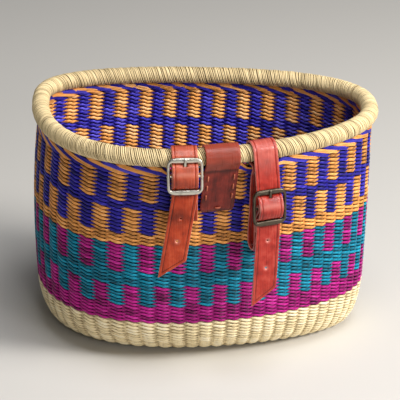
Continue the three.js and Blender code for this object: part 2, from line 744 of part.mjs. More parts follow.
function laceCurve(station) {
  const half = WALL_THICKNESS / 2;
  const proud = PATCH_THICKNESS / 2 + LACE_CLEARANCE + LACE_WIDTH / 2;
  const points = [];
  lacePlaces().forEach(([level, side], index) => {
    const outside = new THREE.Vector3(patchFace(station, level, half).x + proud, level, side);
    const inside = new THREE.Vector3(patchFace(station, level, -half).x - proud, level, side);
    const pair = index % 2 === 0 ? [inside, outside] : [outside, inside];
    points.push(...pair);
  });
  return new THREE.CatmullRomCurve3(points, false, 'catmullrom', LACE_TENSION);
}

function laceTube(curve, width) {
  const half = width / 2;
  const square = [
    new THREE.Vector2(-half, -half),
    new THREE.Vector2(half, -half),
    new THREE.Vector2(half, half),
    new THREE.Vector2(-half, half),
  ];
  const steps = curve.points.length * LACE_STEPS;
  return new THREE.ExtrudeGeometry(new THREE.Shape(square), { steps, extrudePath: curve });
}

function patchAssembly(station, lace) {
  const leather = strip(patchLine(station), PATCH_THICKNESS, PATCH_WIDTH);
  const holes = laceTube(lace, LACE_HOLE_WIDTH);
  station.group.add(piece('rim_patch', cut(leather, [holes]), PATCH_LEATHER));
  station.group.add(piece('patch_lacing', laceTube(lace, LACE_WIDTH), LACE));
  return station.group;
}

// Assembly

const basket = new THREE.Group();
const beltStations = BELTS.map((belt) => rimStation(belt.place));
const patchStation = rimStation(PATCH_PLACE);
const lace = laceCurve(patchStation);
const laceHoles = laceTube(lace, LACE_HOLE_WIDTH).applyMatrix4(patchStation.group.matrixWorld);
const wallCutters = [...beltStations.map(slitCutter), laceHoles];

basket.add(piece('woven_floor', floorPlate(), STRAW));
basket.add(piece('natural_band', naturalRing(), STRAW));

let bandBottom = NATURAL_HEIGHT;
for (const band of BANDS) {
  const bandTop = bandBottom + band.rows * ROW_PITCH;
  const ring = dyedRing(bandBottom + FIT, bandTop);
  basket.add(piece(band.name, cut(ring, wallCutters), { ...STRAW, color: band.colour }));
  bandBottom = bandTop;
}
const border = borderRing(bandBottom + FIT);
basket.add(piece('border_courses', cut(border, wallCutters), { ...STRAW, color: BORDER_COLOUR }));

basket.add(piece('rim_core', rimRing(coreSection()), STRAW));
basket.add(piece('rim_wrap', rimRing(wrapSection()), STRAW));
basket.add(patchAssembly(patchStation, lace));
BELTS.forEach((belt, index) => basket.add(beltAssembly(belt, beltStations[index])));

export default basket;
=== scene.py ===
"""Dressed model of an oval bicycle basket: twined straw walls, a wound rim and two buckled belts."""

import logging
import math
from collections.abc import Sequence
from dataclasses import dataclass, field
from enum import Enum
from functools import cached_property

import bpy
import numpy as np
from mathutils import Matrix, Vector
from mathutils.geometry import delaunay_2d_cdt


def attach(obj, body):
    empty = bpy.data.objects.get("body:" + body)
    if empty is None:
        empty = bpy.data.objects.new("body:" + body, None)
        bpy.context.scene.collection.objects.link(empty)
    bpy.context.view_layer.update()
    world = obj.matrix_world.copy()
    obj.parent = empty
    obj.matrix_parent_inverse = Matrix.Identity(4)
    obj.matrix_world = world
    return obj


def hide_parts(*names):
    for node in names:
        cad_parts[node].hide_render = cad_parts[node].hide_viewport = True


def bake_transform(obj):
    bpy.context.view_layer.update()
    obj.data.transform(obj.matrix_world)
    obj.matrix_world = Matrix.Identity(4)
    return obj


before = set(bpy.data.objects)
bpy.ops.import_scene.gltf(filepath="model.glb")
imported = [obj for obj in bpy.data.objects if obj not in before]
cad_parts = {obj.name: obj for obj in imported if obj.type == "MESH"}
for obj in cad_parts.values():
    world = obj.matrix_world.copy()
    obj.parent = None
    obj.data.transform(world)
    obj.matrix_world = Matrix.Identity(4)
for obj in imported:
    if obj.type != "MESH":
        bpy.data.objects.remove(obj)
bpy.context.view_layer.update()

LOG = logging.getLogger("basket")
MM = 0.001
TURN = 2.0 * math.pi
NUDGE = 0.001
UP = np.array([0.0, 0.0, 1.0])
Array = np.ndarray
Piece = bpy.types.Object
Socket = bpy.types.NodeSocket
Colour = tuple[float, float, float, float]
Pair = tuple[float, float]
Triple = tuple[float, float, float]


def linear(code: str) -> Colour:
    """Turns a written colour into the values that a shader takes, by the standard screen curve.

    Args:
        code: Six hexadecimal digits.

    Returns:
        Linear red, green, blue and an alpha of one.
    """
    parts = [int(code[index:index + 2], 16) / 255 for index in (0, 2, 4)]
    values = [part / 12.92 if part <= 0.04045 else ((part + 0.055) / 1.055) ** 2.4 for part in parts]
    return (*values, 1.0)


class NodeSheet:
    """The nodes of one material, laid out by short calls."""

    def __init__(self, name: str) -> None:
        """Starts a material with its shader.

        Args:
            name: The material's name.
        """
        self.material = bpy.data.materials.new(name)
        self.material.use_nodes = True
        self.tree = self.material.node_tree
        self.shader = self.tree.nodes["Principled BSDF"]

    def join(self, source: object, target: Socket) -> None:
        """Links a socket to an input, or sets the input to a plain value.

        Args:
            source: The socket or the value.
            target: The input.
        """
        if isinstance(source, Socket):
            self.tree.links.new(source, target)
        else:
            target.default_value = source

    def set(self, name: str, value: object) -> None:
        """Sets or links one input of the shader."""
        self.join(value, self.shader.inputs[name])

    def node(self, kind: str, output: str, inputs: dict[str | int, object], **settings: object) -> Socket:
        """Adds one node.

        Args:
            kind: Its kind, without the beginning that all kinds share.
            output: The output that is wanted.
            inputs: A socket or a plain value for each input, by name or number.
            settings: What else is set on it.

        Returns:
            The output.
        """
        node = self.tree.nodes.new(f"ShaderNode{kind}")
        for name, value in settings.items():
            setattr(node, name, value)
        for key, source in inputs.items():
            self.join(source, node.inputs[key])
        return node.outputs[output]

    def named(self, attribute: str, output: str) -> Socket:
        """Gives one of the values that the mesh carries."""
        return self.node("Attribute", output, {}, attribute_name=attribute)

    def place(self) -> Socket:
        """Gives the place on the piece itself, in metres."""
        return self.node("TexCoord", "Object", {})

    def stretch(self, vector: Socket, scale: Triple) -> Socket:
        """Scales a vector by axis."""
        return self.node("VectorMath", "Vector", {0: vector, 1: scale}, operation="MULTIPLY")

    def noise(self, vector: Socket, scale: float, detail: float) -> Socket:
        """Gives soft noise between nought and one, by its fineness and its count of finer layers."""
        return self.node("TexNoise", "Fac", {"Vector": vector, "Scale": scale, "Detail": detail})

    def sum(self, kind: str, *values: object) -> Socket:
        """Does one sum on sockets or numbers and keeps the result between nought and one."""
        return self.node("Math", "Value", dict(enumerate(values)), operation=kind, use_clamp=True)

    def weighed(self, values: Sequence[Socket], shares: Sequence[float]) -> Socket:
        """Adds values up, each times its share.

        Args:
            values: The values.
            shares: One factor for each value.

        Returns:
            The total.
        """
        total, *others = [self.sum("MULTIPLY", value, share) for value, share in zip(values, shares)]
        for other in others:
            total = self.sum("ADD", total, other)
        return total

    def spread(self, value: Socket, low: float, high: float) -> Socket:
        """Stretches the part of a value between two bounds to the whole range."""
        return self.node("MapRange", "Result", {"Value": value, "From Min": low, "From Max": high})

    def ramp(self, value: Socket, places: Sequence[float], codes: Sequence[str]) -> Socket:
        """Turns a value into colours.

        Args:
            value: The value between nought and one.
            places: Where each colour lies, in order.
            codes: The written colours.

        Returns:
            The colour.
        """
        colour = self.node("ValToRGB", "Color", {"Fac": value})
        elements = colour.node.color_ramp.elements
        while len(elements) < len(places):
            elements.new(0.5)
        for element, place, code in zip(elements, places, codes):
            element.position = place
            element.color = linear(code)
        return colour

    def mix(self, share: Socket, first: object, second: object) -> Socket:
        """Mixes a share of the second colour into the first."""
        return self.node("Mix", "Result", {"Factor": share, "A": first, "B": second}, data_type="RGBA")

    def bump(self, height: Socket, depth: float, strength: float) -> None:
        """Gives the shader a relief, by its depth in metres and how strongly it shows."""
        inputs = {"Strength": strength, "Distance": depth, "Height": height}
        self.set("Normal", self.node("Bump", "Normal", inputs))


@dataclass(frozen=True)
class StrawFinish:
    """Split straw with fibres along it, each stitch a little different."""

    name: str
    deep: str
    main: str
    pale: str
    gloss: float = 0.22
    colour_places: Triple = (0.22, 0.6, 0.88)
    fibre_stretch: Triple = (0.09, 1.5, 1.5)
    fibres: Pair = (1.0, 3.0)
    fibre_range: Pair = (0.25, 0.75)
    clouds: Pair = (22.0, 2.0)
    tone_shares: Triple = (0.55, 0.3, 0.15)
    roughening: Pair = (0.25, 0.32)
    relief: Pair = (0.0006, 0.45)

    def material(self) -> bpy.types.Material:
        """Lays out the straw's nodes.

        Returns:
            The material.
        """
        sheet = NodeSheet(self.name)
        tone = sheet.named("tone", "Fac")
        fibre = sheet.noise(sheet.stretch(sheet.named("grain", "Vector"), self.fibre_stretch), *self.fibres)
        cloud = sheet.noise(sheet.place(), *self.clouds)
        clouded = sheet.weighed((tone, sheet.spread(fibre, *self.fibre_range), cloud), self.tone_shares)
        sheet.set("Base Color", sheet.ramp(clouded, self.colour_places, (self.deep, self.main, self.pale)))
        sheet.set("Roughness", sheet.sum("MULTIPLY_ADD", fibre, *self.roughening))
        sheet.set("Specular IOR Level", self.gloss)
        sheet.bump(fibre, *self.relief)
        return sheet.material


@dataclass(frozen=True)
class LeatherFinish:
    """Belt leather with mottled dye, pull marks along it, fine pores, and a tone that darkens it to a dark
    edge colour or pales it to raw leather: real creases, stains and rubbed edges, and also painted
    highlights and painted shadow.
    """

    name: str
    dark: str
    main: str
    light: str
    edge: str
    raw_and_highlight: str
    rough: float
    streaks: float
    gloss: float = 0.32
    colour_places: Triple = (0.3, 0.5, 0.72)
    mottling: Pair = (0.11, 4.0)
    pull_stretch: Triple = (0.02, 0.55, 0.55)
    pulls: Pair = (1.0, 4.0)
    pull_roughness: float = 0.3
    pores: Pair = (2.1, 3.0)
    scuff_stretch: Triple = (0.12, 0.9, 0.9)
    scuffs: Pair = (1.0, 5.0)
    scuff_range: Pair = (0.62, 0.72)
    scuff_share: float = 0.35
    relief_shares: Pair = (0.5, 0.5)
    relief: Pair = (0.0007, 0.4)

    def material(self) -> bpy.types.Material:
        """Lays out the leather's nodes.

        Returns:
            The material.
        """
        sheet = NodeSheet(self.name)
        grain = sheet.named("grain", "Vector")
        wear_and_light_tone = sheet.named("tone", "Fac")
        mottle = sheet.noise(grain, *self.mottling)
        pull = sheet.noise(sheet.stretch(grain, self.pull_stretch), *self.pulls)
        pores = sheet.noise(grain, *self.pores)
        scuffs = sheet.noise(sheet.stretch(grain, self.scuff_stretch), *self.scuffs)
        scuffed = sheet.sum("MULTIPLY", sheet.spread(scuffs, *self.scuff_range), self.scuff_share)
        mixed = sheet.weighed((mottle, pull), (1.0 - self.streaks, self.streaks))
        dyed = sheet.ramp(mixed, self.colour_places, (self.dark, self.main, self.light))
        # the tone darkens towards the edge colour for creases, stains and painted shadow, and pales towards
        # raw leather for rubbed edges and holes and for painted highlights
        darkened = sheet.mix(wear_and_light_tone, sheet.mix(scuffed, dyed, linear(self.dark)), linear(self.edge))
        paled_by_wear_and_light = sheet.spread(wear_and_light_tone, 0.0, -1.0)
        sheet.set("Base Color", sheet.mix(paled_by_wear_and_light, darkened, linear(self.raw_and_highlight)))
        smoothest = self.rough - self.pull_roughness / 2
        sheet.set("Roughness", sheet.sum("MULTIPLY_ADD", pull, self.pull_roughness, smoothest))
        sheet.set("Specular IOR Level", self.gloss)
        sheet.bump(sheet.weighed((pores, pull), self.relief_shares), *self.relief)
        return sheet.material


@dataclass(frozen=True)
class MetalFinish:
    """Plated or bare metal with a cloudy tarnish and fine rubbing."""

    name: str
    bright: str
    dull: str
    rough: float
    tarnish: Pair = (160.0, 4.0)
    tarnish_range: Pair = (0.38, 0.68)
    rubbing: Pair = (900.0, 3.0)
    worn_share: float = 0.6
    roughening: float = 0.25
    relief: Pair = (0.0002, 0.1)

    def material(self) -> bpy.types.Material:
        """Lays out the metal's nodes.

        Returns:
            The material.
        """
        sheet = NodeSheet(self.name)
        place = sheet.place()
        tarnish = sheet.spread(sheet.noise(place, *self.tarnish), *self.tarnish_range)
        wear_and_light_tone = sheet.sum("MULTIPLY", sheet.named("tone", "Fac"), self.worn_share)
        aged = sheet.sum("SUBTRACT", tarnish, wear_and_light_tone)
        sheet.set("Base Color", sheet.mix(aged, linear(self.bright), linear(self.dull)))
        sheet.set("Metallic", 1.0)
        sheet.set("Roughness", sheet.sum("MULTIPLY_ADD", aged, self.roughening, self.rough))
        sheet.bump(sheet.noise(place, *self.rubbing), *self.relief)
        return sheet.material


@dataclass(frozen=True)
class PaintFinish:
    """Matt paint of one colour."""

    name: str
    colour: str
    rough: float
    gloss: float

    def material(self) -> bpy.types.Material:
        """Sets the paint's shader.

        Returns:
            The material.
        """
        sheet = NodeSheet(self.name)
        sheet.set("Base Color", linear(self.colour))
        sheet.set("Roughness", self.rough)
        sheet.set("Specular IOR Level", self.gloss)
        return sheet.material


class Finish(Enum):
    """Every finish of the basket, and the floor's."""

    NATURAL = StrawFinish("natural_straw", "6e5024", "fae6b6", "fff6da")
    WINDING = StrawFinish("rim_straw", "523a16", "ead2a0", "f2deb2")
    MAGENTA = StrawFinish("magenta_straw", "1c0216", "be1688", "f054c4")
    TEAL = StrawFinish("teal_straw", "01141c", "048cac", "2accea")
    ORANGE = StrawFinish("orange_straw", "421806", "ffae5a", "ffd8a2")
    BLUE = StrawFinish("blue_straw", "040218", "2e25a8", "726af0")
    # near-black straw of painted shade, on the ribs of the dyed bands and the border's heart, which show
    # only in the gaps
    PAINTED_SHADE_RIB = StrawFinish("rib_straw_painted_shade", "060405", "0e090b", "181012", gloss=0.05)
    LEFT_LEATHER = LeatherFinish(
        "left_belt_leather", "7c250f", "a63616", "be502e", "340f0a", "eca890", rough=0.26, streaks=0.3)
    RIGHT_LEATHER = LeatherFinish(
        "right_belt_leather", "7a1a13", "a22a1f", "bc4c3e", "300c0a", "eca89a", rough=0.26, streaks=0.3)
    PATCH_LEATHER = LeatherFinish(
        "patch_leather", "360b06", "641910", "882e20", "200604", "b85640", rough=0.3, streaks=0.25)
    LACE = LeatherFinish(
        "lace_leather", "5a2414", "a0523a", "c87e62", "38130c", "d8a48c", rough=0.5, streaks=0.5)
    NICKEL = MetalFinish("bright_nickel", "cdc8bc", "857e70", rough=0.32)
    BRASS = MetalFinish("aged_brass", "5a5146", "26201b", rough=0.34)
    FLOOR = PaintFinish("pale_floor", "cfccc6", rough=0.9, gloss=0.1)

    @cached_property
    def material(self) -> bpy.types.Material:
        """Gives the finish's material, which is made once."""
        return self.value.material()


@dataclass
class Skin:
    """The surface of one piece while it is put together, in millimetres."""

    points: list[Array] = field(default_factory=list)
    grain: list[Array] = field(default_factory=list)
    tone: list[Array] = field(default_factory=list)
    faces: list[Array] = field(default_factory=list)
    slots: list[Array] = field(default_factory=list)
    count: int = 0

    def add(self, points: Array, faces: Sequence[Array], grain: Array, tone: Array | float,
            slot: int = 0) -> None:
        """Adds a stretch of surface.

        Args:
            points: Corners, one row each.
            faces: Arrays of quads or triangles that index the corners.
            grain: Place in the material, one row for each corner.
            tone: One value for each corner or for all, read by the finish.
            slot: Which of the piece's finishes it has.
        """
        self.points.append(points.reshape(-1, 3))
        self.grain.append(grain.reshape(-1, 3))
        self.tone.append(np.broadcast_to(tone, grain.shape[:-1]).reshape(-1))
        for group in faces:
            if len(group):
                self.faces.append(np.asarray(group, dtype=np.int32) + self.count)
                self.slots.append(np.full(len(group), slot, dtype=np.int32))
        self.count += len(self.points[-1])

    def tube(self, corners: Array, grain: Array, tone: Array | float, ring: bool, slot: int = 0) -> None:
        """Adds a tube without ends.

        Args:
            corners: The corners of its sections.
            grain: Their places in the material.
            tone: One value for each corner or for all.
            ring: Whether the last section joins the first.
            slot: Which of the piece's finishes it has.
        """
        self.add(corners, [tube_faces(*corners.shape[:2], ring)], grain, tone, slot)

    def build(self, name: str, *finishes: Finish) -> Piece:
        """Turns the surface into an object.

        Args:
            name: The piece's name.
            finishes: Its finishes, in the order of the slots.

        Returns:
            The object, linked to the scene.
        """
        mesh = bpy.data.meshes.new(name)
        sizes = np.concatenate([np.full(len(group), group.shape[1]) for group in self.faces])
        corners = np.concatenate([group.ravel() for group in self.faces])
        mesh.vertices.add(self.count)
        mesh.vertices.foreach_set("co", (np.concatenate(self.points) * MM).astype(np.float32).ravel())
        mesh.loops.add(len(corners))
        mesh.polygons.add(len(sizes))
        mesh.polygons.foreach_set("loop_start", (np.cumsum(sizes) - sizes).astype(np.int32))
        mesh.loops.foreach_set("vertex_index", corners)
        mesh.polygons.foreach_set("material_index", np.concatenate(self.slots))
        mesh.polygons.foreach_set("use_smooth", np.ones(len(sizes), dtype=bool))
        carried = (("grain", "FLOAT_VECTOR", "vector", self.grain), ("tone", "FLOAT", "value", self.tone))
        for attribute, kind, key, rows in carried:
            data = mesh.attributes.new(attribute, kind, "POINT").data
            data.foreach_set(key, np.concatenate(rows).astype(np.float32).ravel())
        for finish in finishes:
            mesh.materials.append(finish.material)
        mesh.update(calc_edges=True)
        mesh.validate()
        piece = bpy.data.objects.new(name, mesh)
        bpy.context.scene.collection.objects.link(piece)
        LOG.info("built %s with %d faces", name, len(sizes))
        return piece


def settle(piece: Piece, body: str, slot: str, *nodes: str) -> None:
    """Puts a piece on its body.

    Args:
        piece: The piece.
        body: The body that it moves with.
        slot: The record's finish for it; not used.
        nodes: The nodes that it stands for.
    """
    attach(piece, body)
    if nodes:
        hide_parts(*nodes)


def tube_faces(steps: int, sides: int, ring: bool) -> Array:
    """Gives the quads of a tube whose corners run round its section first.

    Args:
        steps: Sections along the tube.
        sides: Corners round each section.
        ring: Whether the last section joins the first.

    Returns:
        The quads, one row each.
    """
    step = np.arange(steps if ring else steps - 1)[:, None]
    side = np.arange(sides)[None, :]
    ahead = (step + 1) % steps
    beyond = (side + 1) % sides
    quads = [step * sides + side, ahead * sides + side, ahead * sides + beyond, step * sides + beyond]
    return np.stack(np.broadcast_arrays(*quads), axis=-1).reshape(-1, 4)


def sections(centre: Array, first: Array, second: Array, across: Array, through: Array) -> Array:
    """Places the corners of a tube's sections.

    Args:
        centre: The middle of each section.
        first: One direction of each section.
        second: Its other direction.
        across: How far each corner lies in the first direction.
        through: How far it lies in the second.

    Returns:
        The corners, by section.
    """
    return centre[:, None] + first[:, None] * across[..., None] + second[:, None] * through[..., None]


def grained(along: Array, across: Array, through: Array) -> Array:
    """Gives each corner of a tube its place in the material.

    Args:
        along: One value for each section.
        across: One value for each corner round a section.
        through: A second value for each corner.

    Returns:
        The places, by section.
    """
    return np.stack(np.broadcast_arrays(along[:, None], across, through), axis=-1)


def unit(vectors: Array) -> Array:
    """Gives vectors a length of one."""
    return vectors / np.linalg.norm(vectors, axis=-1, keepdims=True)


def run(line: Array) -> Array:
    """Gives how far along a line each of its points lies."""
    return np.concatenate([[0.0], np.cumsum(np.linalg.norm(np.diff(line, axis=0), axis=1))])


def circle(count: int) -> Array:
    """Gives evenly spaced angles round a circle."""
    return np.arange(count) / count * TURN


def bell(distance: Array) -> Array:
    """Gives one at no distance and less and less further off."""
    return np.exp(-distance ** 2)


def smooth_line(points: Array, steps: int) -> Array:
    """Draws a smooth line through points.

    Args:
        points: The points, one row each.
        steps: Points on each stretch between two of them.

    Returns:
        The points of the line.
    """
    padded = np.vstack([2 * points[0] - points[1], points, 2 * points[-1] - points[-2]])
    knots = np.concatenate([[0.0], np.cumsum(np.sqrt(np.linalg.norm(np.diff(padded, axis=0), axis=1)))])
    line = []
    for index in range(1, len(padded) - 2):
        a, b, c, d = padded[index - 1:index + 3]
        ka, kb, kc, kd = knots[index - 1:index + 3]
        t = np.linspace(kb, kc, steps, endpoint=False)[:, None]
        ab = a + (b - a) * (t - ka) / (kb - ka)
        bc = b + (c - b) * (t - kb) / (kc - kb)
        cd = c + (d - c) * (t - kc) / (kd - kc)
        abc = ab + (bc - ab) * (t - ka) / (kc - ka)
        bcd = bc + (cd - bc) * (t - kb) / (kd - kb)
        line.append(abc + (bcd - abc) * (t - kb) / (kc - kb))
    return np.vstack([*line, points[-1:]])


def arc(radius: float, start: float, end: float, steps: int) -> Array:
    """Gives the points of an arc round the origin.

    Args:
        radius: Its radius.
        start: Its first angle.
        end: Its last angle.
        steps: Stretches between its points.

    Returns:
        The points, one row each.
    """
    angle = np.linspace(start, end, steps + 1)
    return radius * np.stack([np.cos(angle), np.sin(angle)], axis=-1)


def rounded_corner(before: Array, corner: Array, after: Array, radius: float, steps: int) -> Array:
    """Rounds one corner of a line.

    Args:
        before: The corner before it.
        corner: The corner.
        after: The corner after it.
        radius: How far from the corner the rounding starts.
        steps: Stretches between the points.

    Returns:
        The points of the rounding.
    """
    start = corner + unit(before - corner) * radius
    end = corner + unit(after - corner) * radius
    t = np.linspace(0, 1, steps + 1)[:, None]
    return (1 - t) ** 2 * start + 2 * t * (1 - t) * corner + t ** 2 * end


def drift(rng: np.random.Generator, places: Array) -> Array:
    """Gives a smooth random line between minus one and one.

    Args:
        rng: The source of its values.
        places: Where it is read, with one value for each whole number.

    Returns:
        Its value at each place.
    """
    values = rng.uniform(-1.0, 1.0, int(places.max()) + 3)
    whole = np.floor(places).astype(int)
    part = places - whole
    ease = part * part * (3 - 2 * part)
    return values[whole] * (1 - ease) + values[whole + 1] * ease


@dataclass(frozen=True)
class Shell:
    """The basket's curved form: its outline at every height, and its courses from the floor to the rim."""

    rim_half: float = 171.0
    rim_front: float = 148.0
    rim_back: float = 81.0
    rim_shift: float = 5.8
    rim_radius: float = 9.0
    front_round: float = 2.14
    back_round: float = 2.47
    front_lean: float = 0.288
    back_lean: float = -0.086
    skew: float = -0.096
    widest: float = 35.0
    thickness: float = 6.4
    bulge: float = 4.2
    front_flare: float = 32.0
    back_flare: float = 16.0
    ease: float = 0.4
    floor_half: float = 156.0
    floor_front: float = 78.0
    floor_back: float = 50.0
    floor_slot: float = 4.0
    floor_slot_share: float = 0.62
    floor_courses: int = 19
    wall_height: float = 235.64
    natural_height: float = 52.0
    natural_courses: int = 16
    border_height: float = 10.6
    dyed_courses: int = 42
    ribs: int = 64
    first_rib: float = 0.0962
    rib_sway: float = 1.05
    rib_sway_place: float = 0.354
    rib_end_sway: float = 0.31
    rib_level: float = 150.0
    plan_steps: int = 1440
    front_steps: int = 600
    edge_angles: int = 360
    edge_bends: int = 48

    @property
    def rim_height(self) -> float:
        """Gives the height of the rim's centre line."""
        return self.wall_height + self.rim_radius

    @property
    def pitch(self) -> float:
        """Gives the height of one dyed course."""
        return (self.wall_height - self.natural_height - self.border_height) / self.dyed_courses

    @property
    def border_course(self) -> float:
        """Gives the course at the middle of the border."""
        return self.natural_courses + self.dyed_courses + self.border_height / 2 / self.pitch

    def outline(self, angle: Array, sizes: Array) -> Array:
        """Draws the plan curve.

        Args:
            angle: Angles round the basket, nought at the right end and a quarter turn at the back.
            sizes: Half width, front depth, back depth and shift.

        Returns:
            Points in plan.
        """
        half, front, back, shift = sizes
        sine, cosine = np.sin(angle), np.cos(angle)
        ahead = sine < 0
        power = 2 / np.where(ahead, self.front_round, self.back_round)
        across = np.sign(cosine) * np.abs(cosine) ** power
        along = np.sign(sine) * np.abs(sine) ** power
        depth = np.where(ahead, front, back)
        lean = np.where(ahead, self.front_lean, self.back_lean)
        x = half * across
        y = depth * (1 - lean * across) * along + self.skew * x
        return np.stack([x + shift, y + self.widest], axis=-1)

    def outward(self, angle: Array, sizes: Array) -> Array:
        """Gives the directions square to the plan curve.

        Args:
            angle: Angles round the basket.
            sizes: Half width, front depth, back depth and shift.

        Returns:
            Directions in plan.
        """
        tangent = unit(self.outline(angle + NUDGE, sizes) - self.outline(angle - NUDGE, sizes))
        return np.stack([tangent[..., 1], -tangent[..., 0]], axis=-1)

    def wall_sizes(self, height: Array) -> Array:
        """Gives the plan curve's sizes on the wall.

        Args:
            height: Heights above the underside.

        Returns:
            Half width, front depth, back depth and shift.
        """
        rise = np.minimum(np.asarray(height, dtype=float) / self.wall_height, 1.0)
        drawn = 1 - rise * (1 + self.ease * (1 - rise))
        half = self.rim_half + 4 * self.bulge * rise * (1 - rise)
        front = self.rim_front - self.front_flare * drawn
        back = self.rim_back - self.back_flare * drawn
        return np.stack([half, front, back, self.rim_shift * rise ** 3])

    def corner(self, angle: Array, bend: Array) -> Array:
        """Gives points on the rounded bottom edge.

        Args:
            angle: Angles round the basket.
            bend: How far round the edge, up to a quarter turn.

        Returns:
            Points on the middle of the wall.
        """
        share = np.sin(bend)
        height = self.natural_height - (self.natural_height - self.thickness / 2) * np.cos(bend)
        flat = np.array([self.floor_half, self.floor_front, self.floor_back, 0.0])
        flat = flat.reshape((4,) + (1,) * np.ndim(share))
        sizes = flat + (self.wall_sizes(height) - flat) * share
        return np.concatenate([self.outline(angle, sizes), np.asarray(height)[..., None]], axis=-1)

    @cached_property
    def bends(self) -> Array:
        """Parts the rounded bottom edge into even courses.

        Returns:
            Bends, by angle and course.
        """
        angle = np.linspace(-TURN / 2, TURN / 2, self.edge_angles + 1)
        bend = np.linspace(0, TURN / 4, self.edge_bends + 1)
        even = np.linspace(0, 1, self.natural_courses + 1)
        lengths = [run(line) for line in self.corner(*np.broadcast_arrays(angle[:, None], bend))]
        return np.stack([np.interp(even, length / length[-1], bend) for length in lengths])

    def bend(self, angle: Array, course: Array) -> Array:
        """Finds how far round the bottom edge a course lies.

        Args:
            angle: Angles round the basket.
            course: Courses from the floor's edge.

        Returns:
            Bends.
        """
        turned = (angle + TURN / 2) % TURN / TURN * (len(self.bends) - 1)
        row = np.minimum(turned.astype(int), len(self.bends) - 2)
        column = np.clip(course.astype(int), 0, self.natural_courses - 1)
        down, right = turned - row, course - column
        near = self.bends[row, column] * (1 - right) + self.bends[row, column + 1] * right
        far = self.bends[row + 1, column] * (1 - right) + self.bends[row + 1, column + 1] * right
        return near * (1 - down) + far * down

    def surface(self, angle: Array, course: Array | float) -> Array:
        """Gives points on the middle of the woven sheet.

        Args:
            angle: Angles round the basket.
            course: Courses: below nought on the floor, then the rounded edge, then the wall.

        Returns:
            Points.
        """
        angle, course = np.broadcast_arrays(angle, np.asarray(course, dtype=float))
        inward = np.clip(-course / self.floor_courses, 0, 1)
        outer = (self.floor_half, self.floor_front, self.floor_back, 0.0)
        inner = (self.floor_half * self.floor_slot_share, self.floor_slot, self.floor_slot, 0.0)
        sizes = [low + (high - low) * inward for low, high in zip(outer, inner)]
        plan = self.outline(angle, np.stack(sizes))
        floor = np.concatenate([plan, np.full(plan.shape[:-1] + (1,), self.thickness / 2)], axis=-1)
        edge = self.corner(angle, self.bend(angle, np.clip(course, 0, self.natural_courses)))
        height = self.natural_height + np.maximum(course - self.natural_courses, 0) * self.pitch
        wall = np.concatenate([self.outline(angle, self.wall_sizes(height)), height[..., None]], axis=-1)
        chosen = np.where((course < 0)[..., None], floor, edge)
        return np.where((course > self.natural_courses)[..., None], wall, chosen)

    def shares(self, height: float) -> tuple[Array, Array]:
        """Gives angles round the basket, and the shares of the way round that they lie at.

        Args:
            height: The height of the way round.

        Returns:
            Angles and shares.
        """
        angle = np.linspace(-TURN / 2, TURN / 2, self.plan_steps + 1)
        length = run(self.outline(angle, self.wall_sizes(height)))
        return angle, length / length[-1]

    @cached_property
    def rib_table(self) -> tuple[Array, Array]:
        """Finds where the ribs stand.

        Returns:
            Angles round the basket, and the ribs that they lie at.
        """
        angle, share = self.shares(self.rib_level)
        sway = self.rib_sway * np.cos(TURN * (share - self.rib_sway_place))
        end_sway = self.rib_end_sway * np.cos(2 * TURN * share)
        return angle, self.ribs * (share - self.first_rib) - sway + end_sway

    def rib_angle(self, rib: Array | int) -> Array:
        """Finds the angles of ribs, and of places between them.

        Args:
            rib: Ribs, counted to the right along the front.

        Returns:
            Angles.
        """
        angle, known = self.rib_table
        return np.interp((rib - known[0]) % self.ribs + known[0], known, angle)

    def frames(self, angle: Array, course: Array | float) -> tuple[Array, Array, Array]:
        """Gives the sheet's middle, its outward direction and one course's step up it.

        Args:
            angle: Angles round the basket.
            course: Courses.

        Returns:
            Points, outward directions and steps.
        """
        middle = self.surface(angle, course)
        step = self.surface(angle, course + 0.5) - self.surface(angle, course - 0.5)
        tangent = self.surface(angle + NUDGE, course) - self.surface(angle - NUDGE, course)
        return middle, unit(np.cross(tangent, step)), step

    def rim(self, angle: Array) -> tuple[Array, Array]:
        """Gives the rim's centre line and its outward directions.

        Args:
            angle: Angles round the basket.

        Returns:
            Points and directions.
        """
        sizes = self.wall_sizes(self.rim_height)
        plan, outward = self.outline(angle, sizes), self.outward(angle, sizes)
        level = np.full(plan.shape[:-1] + (1,), self.rim_height)
        outward = np.concatenate([outward, np.zeros_like(level)], axis=-1)
        return np.concatenate([plan, level], axis=-1), outward


